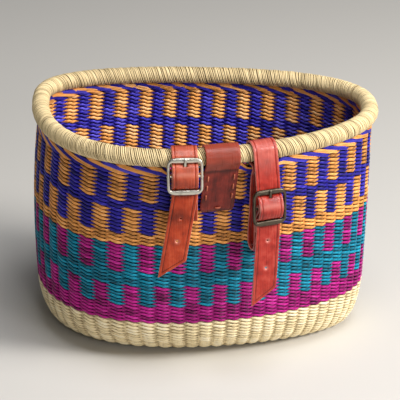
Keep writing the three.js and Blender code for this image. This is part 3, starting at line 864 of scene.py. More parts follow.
@dataclass(frozen=True)
class Station:
    """A place on the belt side of the rim: outward, upward and along directions from an origin."""

    origin: Array
    outward: Array
    up: Array
    along: Array

    @property
    def axes(self) -> Array:
        """Gives the three directions, one row each."""
        return np.stack([self.outward, self.up, self.along])

    def world(self, local: Array) -> Array:
        """Turns places at the station into places in the basket's frame."""
        return self.origin + local @ self.axes

    def local(self, world: Array) -> Array:
        """Turns places in the basket's frame into places at the station."""
        return (world - self.origin) @ self.axes.T

    def moved(self, out: float, rise: float, tilt: float) -> "Station":
        """Gives a station beside this one, tilted about the along direction.

        Args:
            out: How far outward.
            rise: How far upward.
            tilt: The tilt.

        Returns:
            The new station.
        """
        cosine, sine = math.cos(tilt), math.sin(tilt)
        origin = self.origin + self.outward * out + self.up * rise
        outward = self.outward * cosine + self.up * sine
        return Station(origin, outward, self.up * cosine - self.outward * sine, self.along)

    @staticmethod
    def on_rim(shell: Shell, place: float) -> "Station":
        """Finds the station at a place along the front of the rim.

        Args:
            shell: The basket's form.
            place: How far to the right of the rim's middle.

        Returns:
            The station.
        """
        share = place / shell.rim_half
        angle = np.array(-math.acos(math.copysign(abs(share) ** (shell.front_round / 2), share)))
        origin, outward = shell.rim(angle)
        return Station(origin, outward, UP, np.cross(outward, UP))

    def wall_reach(self, shell: Shell, level: float, outset: float, width: float) -> float:
        """Finds how far a face of the wall lies from the station's origin, below it and over a width.

        Args:
            shell: The basket's form.
            level: How far above the origin, so below nought.
            outset: Which face: half the wall's thickness, outward or inward.
            width: The width to look over.

        Returns:
            The distance outward.
        """
        angle = np.linspace(-TURN * 3 / 8, -TURN / 8, shell.front_steps)
        height = shell.rim_height + level
        sizes = shell.wall_sizes(height)
        plan = shell.outline(angle, sizes) + shell.outward(angle, sizes) * outset
        local = self.local(np.column_stack([plan, np.full(len(plan), height)]))
        reach = local[np.abs(local[:, 2]) <= width / 2, 0]
        return float(reach.max() if outset > 0 else reach.min())


@dataclass(frozen=True)
class Straw:
    """The six-cornered section of a strand of straw, and the shade painted on its corners."""

    shoulder: float = 50.0
    darkest: float = 0.5
    # painted shade: how much darker a strand is where it dives, and at its edges
    dive_shade: float = 0.18
    edge_shade: float = 0.75
    edge_power: int = 8

    @cached_property
    def turns(self) -> Array:
        """Gives the angles of the corners: the top, the bottom and the shoulders of the two flat faces."""
        low, high = self.shoulder, 180 - self.shoulder
        return np.radians([low, 90, high, 180 + low, 270, 180 + high])

    @cached_property
    def sine(self) -> Array:
        """Gives how far each corner lies across the section, up to one."""
        return np.sin(self.turns)

    @cached_property
    def cosine(self) -> Array:
        """Gives how far each corner lies through the section, up to one."""
        return np.cos(self.turns)

    def painted_crevice_shade(self, shade: Array, near: Array) -> Array:
        """Paints shade on a strand: darker towards its edges and where it dives between its neighbours.

        Args:
            shade: The shade of each point along the strand, up to one.
            near: How near each point is to the face of the sheet, up to one.

        Returns:
            The tone of each corner.
        """
        # painted shade: each stitch's random shade, darker where it dives and towards its edges
        along = (self.darkest + (1 - self.darkest) * shade) * (1 - self.dive_shade * (1 - near))
        return np.clip(along[:, None] - self.edge_shade * np.abs(self.sine) ** self.edge_power, 0, 1)


@dataclass
class Border:
    """The border under the rim: on both faces, a flat strand of plies from the rim down to each rib."""

    shell: Shell
    straw: Straw
    rng: np.random.Generator
    belts: Sequence[Station]
    belt_half: float
    span: float = 2.75
    end: float = 0.45
    top: float = 6.4
    feet: Pair = (4.2, 2.2)
    plies: Triple = (-1.35, 0.0, 1.35)
    half_high: float = 0.82
    half_thick: float = 1.1
    out: float = 2.6
    steps: int = 15
    dive: float = 0.14
    tip: float = 0.35
    slack: float = 0.3
    slack_waves: int = 4
    stray: float = 0.25
    stray_waves: int = 3
    strand_shade: float = 0.7
    grain_length: float = 42.0
    grain_rib: float = 97.0
    grain_width: float = 2.0
    press_reach: float = 1.6
    press_ease: float = 0.5
    press_depth: float = 30.0
    press_flat: float = 0.5
    press_thin: float = 0.25
    press_drop: float = 2.3
    core_steps: int = 4
    core_half_thick: float = 1.2
    core_margin: float = 0.6
    core_drop: float = 2.4
    # painted shade: the dark tone of the border's heart
    core_tone: float = 0.3

    def pressed(self, points: Array) -> Array:
        """Tells how far the belts press the border down.

        Args:
            points: Places on the border.

        Returns:
            A share for each place.
        """
        most = np.zeros(len(points))
        for belt in self.belts:
            local = np.abs(belt.local(points))
            near = np.clip(self.press_reach - local[:, 2] / self.belt_half, 0, self.press_ease)
            most = np.maximum(most, near / self.press_ease * (local[:, 0] < self.press_depth))
        return most

    def strand(self, skin: Skin, rib: int, face: int, foot: float) -> None:
        """Adds the plies that run down to one rib.

        Args:
            skin: The border.
            rib: The rib.
            face: One on the outside, minus one on the inside.
            foot: How far below the border's middle they end.
        """
        shell, straw = self.shell, self.straw
        share = np.linspace(0, 1, self.steps)
        sunk = np.clip(np.minimum(share, 1 - share) / self.dive, 0, 1)
        place = rib + face * (self.end - self.span * (1 - share))
        middle, outward, step = shell.frames(shell.rib_angle(place), shell.border_course)
        up = unit(step)
        pressed = self.pressed(middle)
        high = self.half_high * (self.tip + (1 - self.tip) * sunk) * (1 - self.press_thin * pressed)
        across, through = high[:, None] * straw.sine, self.half_thick * straw.cosine
        along = share * self.grain_length + self.grain_rib * rib
        shade = self.rng.random()
        for ply in self.plies:
            slack = self.slack * drift(self.rng, share * self.slack_waves)
            rise = self.top - (self.top + foot) * share + ply + slack
            rise = rise * (1 - self.press_flat * pressed) - self.press_drop * pressed
            stray = self.stray * drift(self.rng, share * self.stray_waves)
            out = face * (self.out * sunk * (2 - sunk) + stray)
            centre = middle + outward * out[:, None] + up * rise[:, None]
            shaded = self.strand_shade * shade + (1 - self.strand_shade) * self.rng.random()
            tone = straw.painted_crevice_shade(np.full(self.steps, shaded), sunk)
            grain = grained(along, self.grain_width * straw.sine + ply, straw.cosine)
            corners = sections(centre, up, outward, across, through)
            skin.tube(corners, grain, tone, False, (rib + (face < 0)) % 2)

    def core(self, skin: Skin) -> None:
        """Adds the dark heart of the border, between its two faces: near-black painted shade that shows in
        the gaps.

        Args:
            skin: The border.
        """
        shell, straw = self.shell, self.straw
        count = shell.ribs * self.core_steps
        angle = shell.rib_angle(np.arange(count) / self.core_steps)
        middle, outward, step = shell.frames(angle, shell.border_course)
        up = unit(step)
        dropped = self.core_drop * self.pressed(middle)
        high = shell.border_height / 2 + self.core_margin - dropped
        across, through = high[:, None] * straw.sine, self.core_half_thick * straw.cosine
        corners = sections(middle - up * dropped[:, None], up, outward, across, through)
        skin.tube(corners, corners, self.core_tone, True, 2)

    def build(self) -> Piece:
        """Builds the border.

        Returns:
            The piece.
        """
        skin = Skin()
        for face, foot in zip((1, -1), self.feet):
            for rib in range(self.shell.ribs):
                self.strand(skin, rib, face, foot)
        self.core(skin)
        return skin.build("border_waling", Finish.ORANGE, Finish.BLUE, Finish.PAINTED_SHADE_RIB)


@dataclass(frozen=True)
class Ribs:
    """The ribs that the strands are twined round, which close the sheet behind them, dark with painted
    shade: near black in the dyed bands.
    """

    shell: Shell
    straw: Straw
    half_width: float = 7.2
    half_thick: float = 1.2
    step: float = 0.8
    slimmest: float = 0.3
    # painted shade: the ribs' dark tone
    tone: float = 0.3
    grain_length: float = 4.0
    grain_rib: float = 31.0
    grain_width: float = 2.4

    def build(self) -> Piece:
        """Builds the ribs: every second one starts in the middle of the floor, the others at its edge.

        Returns:
            The piece.
        """
        skin = Skin()
        shell, straw = self.shell, self.straw
        sides = len(straw.turns)
        for rib in range(shell.ribs):
            lowest = -shell.floor_courses if rib % 2 == 0 else -1.0
            course = np.arange(lowest, shell.border_course, self.step)
            middle, outward, step = shell.frames(shell.rib_angle(rib), course)
            slim = np.clip(1 + course / shell.floor_courses, self.slimmest, 1.0)
            across = slim[:, None] * self.half_width * straw.sine
            sideways = unit(np.cross(outward, step))
            corners = sections(middle, sideways, outward, across, self.half_thick * straw.cosine)
            along = course * self.grain_length + self.grain_rib * rib
            grain = grained(along, self.grain_width * straw.sine, straw.cosine)
            faces = tube_faces(len(course), sides, False)
            dyed = course[faces[:, 0] // sides] > shell.natural_courses - 0.5
            skin.add(corners, [faces[~dyed]], grain, self.tone, 0)
            skin.add(corners, [faces[dyed]], grain, self.tone, 1)
        return skin.build("wall_ribs", Finish.NATURAL, Finish.PAINTED_SHADE_RIB)


@dataclass(frozen=True)
class Band:
    """One band of the wall: its node, its courses, its strands' two finishes and its tucked courses."""

    node: str
    slot: str
    courses: int
    first: Finish
    second: Finish
    tucked: int = 0


BANDS = (
    Band("magenta_band", "magenta_straw", 5, Finish.MAGENTA, Finish.MAGENTA),
    Band("lower_teal_checks", "teal_and_magenta_straw", 6, Finish.TEAL, Finish.MAGENTA),
    Band("teal_band", "teal_straw", 4, Finish.TEAL, Finish.TEAL),
    Band("upper_magenta_checks", "teal_and_magenta_straw", 8, Finish.MAGENTA, Finish.TEAL),
    Band("orange_band", "orange_straw", 3, Finish.ORANGE, Finish.ORANGE),
    Band("lower_orange_checks", "orange_and_blue_straw", 7, Finish.BLUE, Finish.ORANGE),
    Band("blue_band", "blue_straw", 2, Finish.BLUE, Finish.BLUE),
    Band("upper_orange_checks", "orange_and_blue_straw", 7, Finish.ORANGE, Finish.BLUE, 1),
)


@dataclass
class Weave:
    """The twined sheet: pairs of strands that cross between its ribs."""

    shell: Shell
    straw: Straw = Straw()
    swing: float = 1.5
    lift: float = 0.3
    half_thick: float = 2.2
    waist: float = 0.305
    belly: float = 0.15
    steps: int = 8
    wobble: float = 0.12
    rise_wobble: float = 0.3
    swing_wobble: float = 0.6
    belly_wobble: float = 2.0
    plies: int = 2
    ply_relief: float = 0.1
    ply_sway: float = 0.05
    # painted shade: darker in the grooves between the plies, lighter on their crowns
    ply_shade: float = 0.2
    # painted light and shade: dyed strands darker outside and lighter inside, natural strands paler outside
    dyed_painted_outside_light: float = -0.16
    natural_painted_outside_light: float = 0.16
    grain_length: float = 13.0
    grain_starts: float = 900.0
    grain_width: float = 2.0
    grain_course: float = 7.0
    spine_share: float = 0.64
    spine_steps: int = 60
    spine_half_width: float = 1.9
    spine_half_thick: float = 2.2
    spine_places: tuple[float, ...] = (-4.8, -1.6, 1.6, 4.8)
    rng: np.random.Generator = field(default_factory=lambda: np.random.default_rng(11))

    def strand(self, skin: Skin, course: float, start: int, slot: int, ribs: int, painted_outside_light: float) -> None:
        """Adds one strand of a course.

        Args:
            skin: The piece it belongs to.
            course: The course.
            start: Nought for the strand that starts in front, one for the other.
            slot: Which of the piece's finishes it has.
            ribs: How many ribs it passes.
            painted_outside_light: How much paler it is painted on the outside than inside, below nought
                darker: painted light and shade.
        """
        straw = self.straw
        count = ribs * self.steps
        rib = np.arange(count) / self.steps
        angle = self.shell.rib_angle(rib * self.shell.ribs / ribs)
        middle, outward, step = self.shell.frames(angle, course)
        phase = math.pi * (rib + start)
        swung = np.cos(phase)
        near = swung ** 2
        stitch = np.floor(rib + 0.5).astype(int) % ribs
        loose = self.rng.uniform(-1.0, 1.0, (3, ribs))[:, stitch] * self.wobble
        rise = -self.lift * np.sin(phase) + self.rise_wobble * loose[0] * near
        rise = rise + self.ply_sway * np.sin(self.plies * TURN * rib)
        out = self.swing * swung * (1 + self.swing_wobble * loose[1])
        centre = middle + outward * out[:, None] + step * rise[:, None]
        half_high = self.waist + self.belly * near * (1 + self.belly_wobble * loose[2])
        twist = np.cos(self.plies * (TURN * rib[:, None] + straw.turns))
        ply = 1 + self.ply_relief * twist
        across, through = half_high[:, None] * ply * straw.sine, self.half_thick * ply * straw.cosine
        along = rib * self.grain_length + self.rng.uniform(0, self.grain_starts)
        depth = self.half_thick * straw.cosine + self.grain_course * course
        grain = grained(along, self.grain_width * straw.sine, depth)
        tone = straw.painted_crevice_shade(self.rng.random(ribs)[stitch], near)
        # painted light and shade: the outside paler or darker than the inside, and darker in the grooves
        # between plies
        tone = tone + painted_outside_light * swung[:, None] + self.ply_shade * twist
        skin.tube(sections(centre, step, outward, across, through), grain, tone, True, slot)

    def spine(self, skin: Skin) -> None:
        """Adds the straight strands that the floor starts from.

        Args:
            skin: The floor.
        """
        shell, straw = self.shell, self.straw
        length = np.linspace(-1, 1, self.spine_steps) * shell.floor_half * self.spine_share
        level = np.full(self.spine_steps, shell.thickness / 2)
        across, through = self.spine_half_width * straw.sine, self.spine_half_thick * straw.cosine
        section = np.column_stack([np.zeros_like(across), across, through])
        for place in self.spine_places:
            centre = np.column_stack([length, shell.widest + shell.skew * length + place, level])
            corners = centre[:, None] + section
            shade = np.full(self.spine_steps, self.rng.random())
            skin.tube(corners, corners, straw.painted_crevice_shade(shade, shade), False)

    def sheet(self, name: str, courses: range, ribs: int, painted_outside_light: float, *finishes: Finish) -> Piece:
        """Builds a stretch of courses, with the spine where they start in the middle of the floor.

        Args:
            name: The piece's name.
            courses: Its courses.
            ribs: How many ribs they pass.
            painted_outside_light: How much paler the strands are painted on the outside than inside, below
                nought darker: painted light and shade.
            finishes: One finish for both strands of a course, or one for each.

        Returns:
            The piece.
        """
        skin = Skin()
        if courses.start < 0:
            self.spine(skin)
        for course in courses:
            for start in (0, 1):
                self.strand(skin, course + 0.5, start, start % len(finishes), ribs, painted_outside_light)
        return skin.build(name, *finishes)

    def dress(self, belts: Sequence[Station], belt_half: float) -> None:
        """Builds every woven piece and puts it on the basket.

        Args:
            belts: Where the belts pass under the rim.
            belt_half: Half the width that a belt needs there.
        """
        shell = self.shell
        plain = (self.natural_painted_outside_light, Finish.NATURAL)
        floor = self.sheet("floor_twining", range(-shell.floor_courses, 0), shell.ribs // 2, *plain)
        settle(floor, "basket", "natural_straw", "woven_floor")
        natural = self.sheet("natural_band_twining", range(shell.natural_courses), shell.ribs, *plain)
        settle(natural, "basket", "natural_straw", "natural_band")
        lowest = shell.natural_courses
        for band in BANDS:
            courses = range(lowest, lowest + band.courses + band.tucked)
            dyed = (self.dyed_painted_outside_light, band.first, band.second)
            piece = self.sheet(f"{band.node}_twining", courses, shell.ribs, *dyed)
            settle(piece, "basket", band.slot, band.node)
            lowest += band.courses
        border = Border(shell, self.straw, self.rng, belts, belt_half).build()
        settle(border, "basket", "orange_and_blue_straw", "border_courses")
        settle(Ribs(shell, self.straw).build(), "basket", "natural_straw")


@dataclass
class Rim:
    """The rim: a hoop, and straw wound round it. Each unevenness has its size and its waves in a turn."""

    shell: Shell
    hoop_radius: float = 7.7
    hoop_steps: int = 240
    hoop_sides: int = 16
    hoop_tone: float = 0.22
    hoop_grain_length: float = 860.0
    hoop_grain_width: float = 5.0
    wind_radius: float = 8.05
    half_width: float = 0.95
    half_thick: float = 0.95
    turns: int = 496
    strands: int = 8
    turn_steps: int = 24
    sides: int = 6
    bunching: Pair = (0.35, 1.7)
    straying: Pair = (0.22, 3.1)
    lifting: Pair = (0.3, 2.1)
    widening: Pair = (0.3, 1.3)
    shading: Pair = (0.22, 1.1)
    # painted shade: each strand darker towards its sides, in the gaps between turns
    edge_shade: float = 0.75
    edge_power: int = 3
    grain_length: float = 52.0
    grain_strand: float = 811.0
    grain_width: float = 1.3
    rng: np.random.Generator = field(default_factory=lambda: np.random.default_rng(29))

    def around(self, share: Array) -> tuple[Array, Array]:
        """Gives the rim's centre line and its outward directions at shares of the way round."""
        angle, known = self.shell.shares(self.shell.rim_height)
        return self.shell.rim(np.interp(share % 1.0, known, angle))

    def uneven(self, wound: Array, size: float, waves: float) -> Array:
        """Gives how far something wanders along the winding, by its size and its waves in a turn."""
        return size * drift(self.rng, wound * waves)

    def hoop(self) -> Piece:
        """Builds the hoop under the winding.

        Returns:
            The piece.
        """
        skin = Skin()
        share = np.arange(self.hoop_steps) / self.hoop_steps
        centre, outward = self.around(share)
        turn = circle(self.hoop_sides)
        cosine, sine = np.cos(turn), np.sin(turn)
        spoke = outward[:, None] * cosine[:, None] + UP * sine[:, None]
        width = self.hoop_grain_width
        grain = grained(share * self.hoop_grain_length, width * cosine, width * sine)
        skin.tube(centre[:, None] + spoke * self.hoop_radius, grain, self.hoop_tone, True)
        return skin.build("rim_hoop", Finish.WINDING)

    def winding(self) -> Piece:
        """Builds the winding: strands side by side in close, uneven turns.

        Returns:
            The piece.
        """
        skin = Skin()
        count = self.turns // self.strands * self.turn_steps
        wound = np.arange(count) / self.turn_steps
        turn = -(wound * TURN)[:, None]
        side = (np.arange(self.sides) + 0.5) / self.sides * TURN
        cosine, sine = np.cos(side), np.sin(side)
        # painted shade: darker towards each strand's sides
        edge = self.edge_shade * np.abs(sine) ** self.edge_power
        bunched = self.uneven(wound, *self.bunching)
        for strand in range(self.strands):
            strayed = strand + self.strands * wound + self.uneven(wound, *self.straying) + bunched
            centre, outward = self.around(strayed / self.turns)
            spoke = outward * np.cos(turn) + UP * np.sin(turn)
            middle = centre + spoke * (self.wind_radius + self.uneven(wound, *self.lifting))[:, None]
            wide = self.half_width * (1 + self.uneven(wound, *self.widening))
            across, through = wide[:, None] * sine, self.half_thick * cosine
            along = wound * self.grain_length + self.grain_strand * strand
            grain = grained(along, self.grain_width * sine, cosine)
            shade = 1 - self.shading[0] + self.uneven(wound, *self.shading)
            tone = np.clip(shade[:, None] - edge, 0, 1)
            skin.tube(sections(middle, np.cross(outward, UP), spoke, across, through), grain, tone, True)
        return skin.build("rim_winding", Finish.WINDING)

    def dress(self) -> None:
        """Builds the rim and puts it on the basket."""
        settle(self.hoop(), "basket", "natural_straw", "rim_core")
        settle(self.winding(), "basket", "natural_straw", "rim_wrap")


def edge_distance(points: Array, outline: Array) -> Array:
    """Finds how far points lie from a closed outline.

    Args:
        points: The points.
        outline: The outline's corners, in order.

    Returns:
        Distances.
    """
    sides = np.roll(outline, -1, axis=0) - outline
    offset = points[:, None] - outline[None]
    share = np.clip((offset * sides).sum(-1) / (sides ** 2).sum(-1), 0, 1)
    return np.linalg.norm(offset - sides * share[..., None], axis=-1).min(axis=1)


def winding_inside(points: Array, outline: Array) -> Array:
    """Tells which points lie inside a closed outline.

    Args:
        points: The points.
        outline: The outline's corners, in order.

    Returns:
        True for each point inside.
    """
    start = outline[None] - points[:, None]
    end = np.roll(outline, -1, axis=0)[None] - points[:, None]
    cross = start[..., 0] * end[..., 1] - start[..., 1] * end[..., 0]
    turned = np.arctan2(cross, (start * end).sum(-1)).sum(axis=1)
    return np.abs(turned) > TURN / 2


def rounded_outline(corners: Array, radius: float, spacing: float, steps: int = 6) -> Array:
    """Draws a closed outline with rounded corners and evenly spaced points.

    Args:
        corners: The outline's corners, in order.
        radius: How far from each corner the rounding starts.
        spacing: The distance between points on straight sides.
        steps: Stretches between the points of a rounding.

    Returns:
        The points.
    """
    line = []
    for before, corner, after in zip(np.roll(corners, 1, axis=0), corners, np.roll(corners, -1, axis=0)):
        line.append(rounded_corner(before, corner, after, radius, steps))
        drawn = unit(after - corner) * radius
        start, end = corner + drawn, after - drawn
        count = max(int(np.linalg.norm(end - start) / spacing), 1)
        line.append(start + (end - start) * (np.arange(1, count) / count)[:, None])
    return np.concatenate(line)


@dataclass(frozen=True)
class Hide:
    """How a cut piece of leather is finished, at its edges, along its crease and round its holes."""

    half_thick: float
    round_over: float = 1.0
    blunt: float = 0.5
    crease: float = 3.0
    crease_depth: float = 0.3
    crease_half: float = 0.42
    crease_shade: float = 0.85
    crease_shade_half: float = 0.36
    edge_rub: float = 0.55
    edge_rub_half: float = 0.3
    hole_rub: float = 1.2
    hole_rub_half: float = 0.4
    hole_sides: int = 16
    hole_ring: float = 0.5
    hole_margin: float = 1.4
    blot_shift: Pair = (2.0, 2.5)
    blot_size: Pair = (9.0, 11.0)
    under_grain: float = 40.0
    cell: float = 2.4
    cell_margin: float = 0.8
    ring_slack: float = 0.06
    weld: float = 1e-5
    insets: tuple[float, ...] = (0.0, 0.18, 0.5, 1.0, 2.2, 2.65, 3.0, 3.35, 3.8)

    def thickness(self, inset: Array) -> Array:
        """Gives half the leather's thickness.

        Args:
            inset: Distances from its edge.

        Returns:
            Half thicknesses.
        """
        rounding = np.sqrt(np.clip(1 - (1 - np.minimum(inset / self.round_over, 1)) ** 2, 0, 1))
        body = self.half_thick * (self.blunt + (1 - self.blunt) * rounding)
        return body - self.crease_depth * bell((inset - self.crease) / self.crease_half)

    def wear(self, inset: Array) -> Array:
        """Gives how dark the leather is pressed, or below nought how pale it is from rubbing.

        Args:
            inset: Distances from its edge.

        Returns:
            Tones.
        """
        shade = self.crease_shade if self.crease_depth else 0.0
        pressed = shade * bell((inset - self.crease) / self.crease_shade_half)
        return pressed - self.edge_rub * bell(inset / self.edge_rub_half)

    def both_faces(self, grain: Array) -> Array:
        """Gives the places in the material of both faces, from those of the first."""
        return np.concatenate([grain, grain + np.array([0.0, 0.0, self.under_grain])])

    def lines(self, half_width: float, inner: Sequence[float]) -> Array:
        """Gives the places of the lines that run along a strip.

        Args:
            half_width: Half the strip's width.
            inner: Further places on one side of the middle.

        Returns:
            Places across the strip, in order.
        """
        right = np.array(sorted({half_width - inset for inset in self.insets} | set(inner)))
        return np.concatenate([-right[::-1], right])

    def strip(self, skin: Skin, station: Station, line: Array, across: Array, shift: Array, narrow: Array,
              paled_by_wear_and_light: Array, open_to: tuple[Array, float] | None = None) -> None:
        """Adds a strip along a flat line.

        Args:
            skin: The piece it belongs to.
            station: Where the line lies.
            line: The line's points, outward and up.
            across: Places across the strip.
            shift: How far each point's strip moves along the rim.
            narrow: A factor on each point's width.
            paled_by_wear_and_light: How much paler each point is painted: painted highlights, and below
                nought painted shadow.
            open_to: Which points have an opening in the middle, and half its width.
        """
        count, lines = len(line), len(across)
        ahead = unit(np.gradient(line, axis=0))
        normal = np.stack([-ahead[:, 1], ahead[:, 0]], axis=-1)
        inset = across.max() - np.abs(across)
        half = self.thickness(inset)
        wide = across * narrow[:, None] + shift[:, None]
        sheets = []
        for face in (1.0, -1.0):
            flat = line[:, None] + normal[:, None] * (half * face)[:, None]
            sheets.append(np.concatenate([flat, wide[..., None]], axis=-1))
        points = station.world(np.concatenate(sheets).reshape(-1, 3))
        grain = self.both_faces(grained(run(line), across, np.zeros(lines)))
        kept = np.ones((count - 1, lines - 1), dtype=bool)
        if open_to is not None:
            opened, half_slot = open_to
            middle = np.abs(across[:-1] + across[1:]) / 2 < half_slot
            kept &= ~(opened[:-1, None] & opened[1:, None] & middle)
        skin.add(points, self.strip_faces(kept), grain, self.wear(inset) - np.tile(paled_by_wear_and_light, 2)[:, None])

    @staticmethod
    def strip_faces(kept: Array) -> list[Array]:
        """Gives the faces of a strip: both sides, and walls wherever a cell ends.

        Args:
            kept: Which cells of the strip are leather.

        Returns:
            The quads.
        """
        rows, columns = kept.shape
        lines = columns + 1
        under = (rows + 1) * lines
        row, column = np.nonzero(kept)
        corner = row * lines + column
        top = np.stack([corner, corner + lines, corner + lines + 1, corner + 1], axis=-1)
        faces = [top, top[:, ::-1] + under]
        padded = np.pad(kept, 1)
        walls = ((-1, 0, 1, 0), (1, 0, lines, lines + 1), (0, -1, 0, lines), (0, 1, lines + 1, 1))
        for down, right, first, second in walls:
            ends = kept & ~padded[1 + down:rows + 1 + down, 1 + right:columns + 1 + right]
            row, column = np.nonzero(ends)
            start, end = row * lines + column + first, row * lines + column + second
            faces.append(np.stack([end, start, start + under, end + under], axis=-1))
        return faces

    def plate(self, skin: Skin, place: Station, outline: Array, holes: Sequence[tuple[Array, float]],
              bow: float, stain: float) -> None:
        """Adds a flat cut piece of leather.

        Args:
            skin: The piece it belongs to.
            place: Its frame: the plate lies across the outward direction.
            outline: Its corners, up and along, in order.
            holes: Centres and radii of punched holes.
            bow: How far its middle bows outward.
            stain: How dark the leather is round the first hole.
        """
        flat, triangles = self.cut(outline, holes)
        inset = edge_distance(flat, outline)
        half, tone = self.thickness(inset), self.wear(inset)
        for centre, radius in holes:
            around = np.abs(np.linalg.norm(flat - centre, axis=1) - radius)
            half = np.minimum(half, self.thickness(np.minimum(around, self.round_over)))
            tone = tone - self.hole_rub * bell(around / self.hole_rub_half)
        blot = (flat - holes[0][0] - np.array(self.blot_shift)) / np.array(self.blot_size)
        tone = tone + stain * bell(np.linalg.norm(blot, axis=1))
        drop = (outline[:, 0].max() - flat[:, 0]) / np.ptp(outline[:, 0])
        bowed = bow * np.sin(np.clip(drop, 0, 1) * TURN / 2) ** 2
        sheets = [np.column_stack([bowed + half * face, flat]) for face in (1.0, -1.0)]
        points = place.world(np.concatenate(sheets))
        under = len(flat)
        edges = np.concatenate([triangles[:, [0, 1]], triangles[:, [1, 2]], triangles[:, [2, 0]]])
        known = {tuple(edge) for edge in edges}
        rims = np.array([edge for edge in edges if (edge[1], edge[0]) not in known])
        walls = np.stack([rims[:, 1], rims[:, 0], rims[:, 0] + under, rims[:, 1] + under], axis=-1)
        grain = self.both_faces(np.column_stack([-flat[:, 0], flat[:, 1], np.zeros(under)]))
        skin.add(points, [triangles, triangles[:, ::-1] + under, walls], grain, np.tile(tone, 2))

    def rows(self, outline: Array) -> list[Array]:
        """Gives rows of points that follow an outline at the insets.

        Args:
            outline: The outline's corners, in order.

        Returns:
            The rows.
        """
        following = np.roll(outline, -1, axis=0)
        area = (outline[:, 0] * following[:, 1] - outline[:, 1] * following[:, 0]).sum()
        tangent = unit(following - np.roll(outline, 1, axis=0)) * math.copysign(1.0, area)
        inward = np.stack([-tangent[:, 1], tangent[:, 0]], axis=-1)
        rows = []
        for inset in self.insets[1:]:
            row = outline + inward * inset
            true = np.abs(edge_distance(row, outline) - inset) < self.ring_slack
            rows.append(row[true & winding_inside(row, outline)])
        return rows

    def cut(self, outline: Array, holes: Sequence[tuple[Array, float]]) -> tuple[Array, Array]:
        """Cuts a flat shape into triangles that follow its edges.

        Args:
            outline: Its corners, in order.
            holes: Centres and radii of its holes.

        Returns:
            Points and triangles.
        """
        last = self.hole_sides - 1
        ends = (0, TURN * last / self.hole_sides, last)
        loops = [outline] + [centre + arc(radius, *ends) for centre, radius in holes]
        inner = [centre + arc(radius + self.hole_ring, *ends) for centre, radius in holes]
        inner += self.rows(outline)
        spans = zip(outline.min(axis=0), outline.max(axis=0))
        grid = np.meshgrid(*[np.arange(low, high, self.cell) for low, high in spans])
        grid = np.stack(grid, axis=-1).reshape(-1, 2)
        clear = edge_distance(grid, outline) > self.insets[-1] + self.cell_margin
        for centre, radius in holes:
            clear &= np.linalg.norm(grid - centre, axis=1) > radius + self.hole_margin
        inner.append(grid[clear & winding_inside(grid, outline)])
        edges, start = [], 0
        for loop in loops:
            index = np.arange(start, start + len(loop))
            edges += zip(index.tolist(), np.roll(index, -1).tolist())
            start += len(loop)
        points = [Vector(point) for point in np.concatenate(loops + inner)]
        made = delaunay_2d_cdt(points, edges, [], 0, self.weld)
        flat, triangles = np.array(made[0]), np.array(made[2])
        middle = flat[triangles].mean(axis=1)
        kept = winding_inside(middle, outline)
        for hole in loops[1:]:
            kept &= ~winding_inside(middle, hole)
        return flat, triangles[kept]


@dataclass(frozen=True)
class BeltPlace:
    """Where one belt hangs and how it lies."""

    side: str
    place: float
    stand_off: float
    drop: float
    tilt: float
    rim_leave: float
    slant: float
    holes: Pair
    stain: float
    leather: Finish
    metal: Finish


BELTS = (
    BeltPlace("left", place=-19.8, stand_off=3.3, drop=13.0, tilt=5.0, rim_leave=40.0, slant=10.0,
              holes=(25.0, 48.0), stain=0.7, leather=Finish.LEFT_LEATHER, metal=Finish.NICKEL),
    BeltPlace("right", place=55.2, stand_off=10.9, drop=50.0, tilt=3.0, rim_leave=5.0, slant=4.0,
              holes=(17.0, 46.0), stain=0.0, leather=Finish.RIGHT_LEATHER, metal=Finish.BRASS),
)


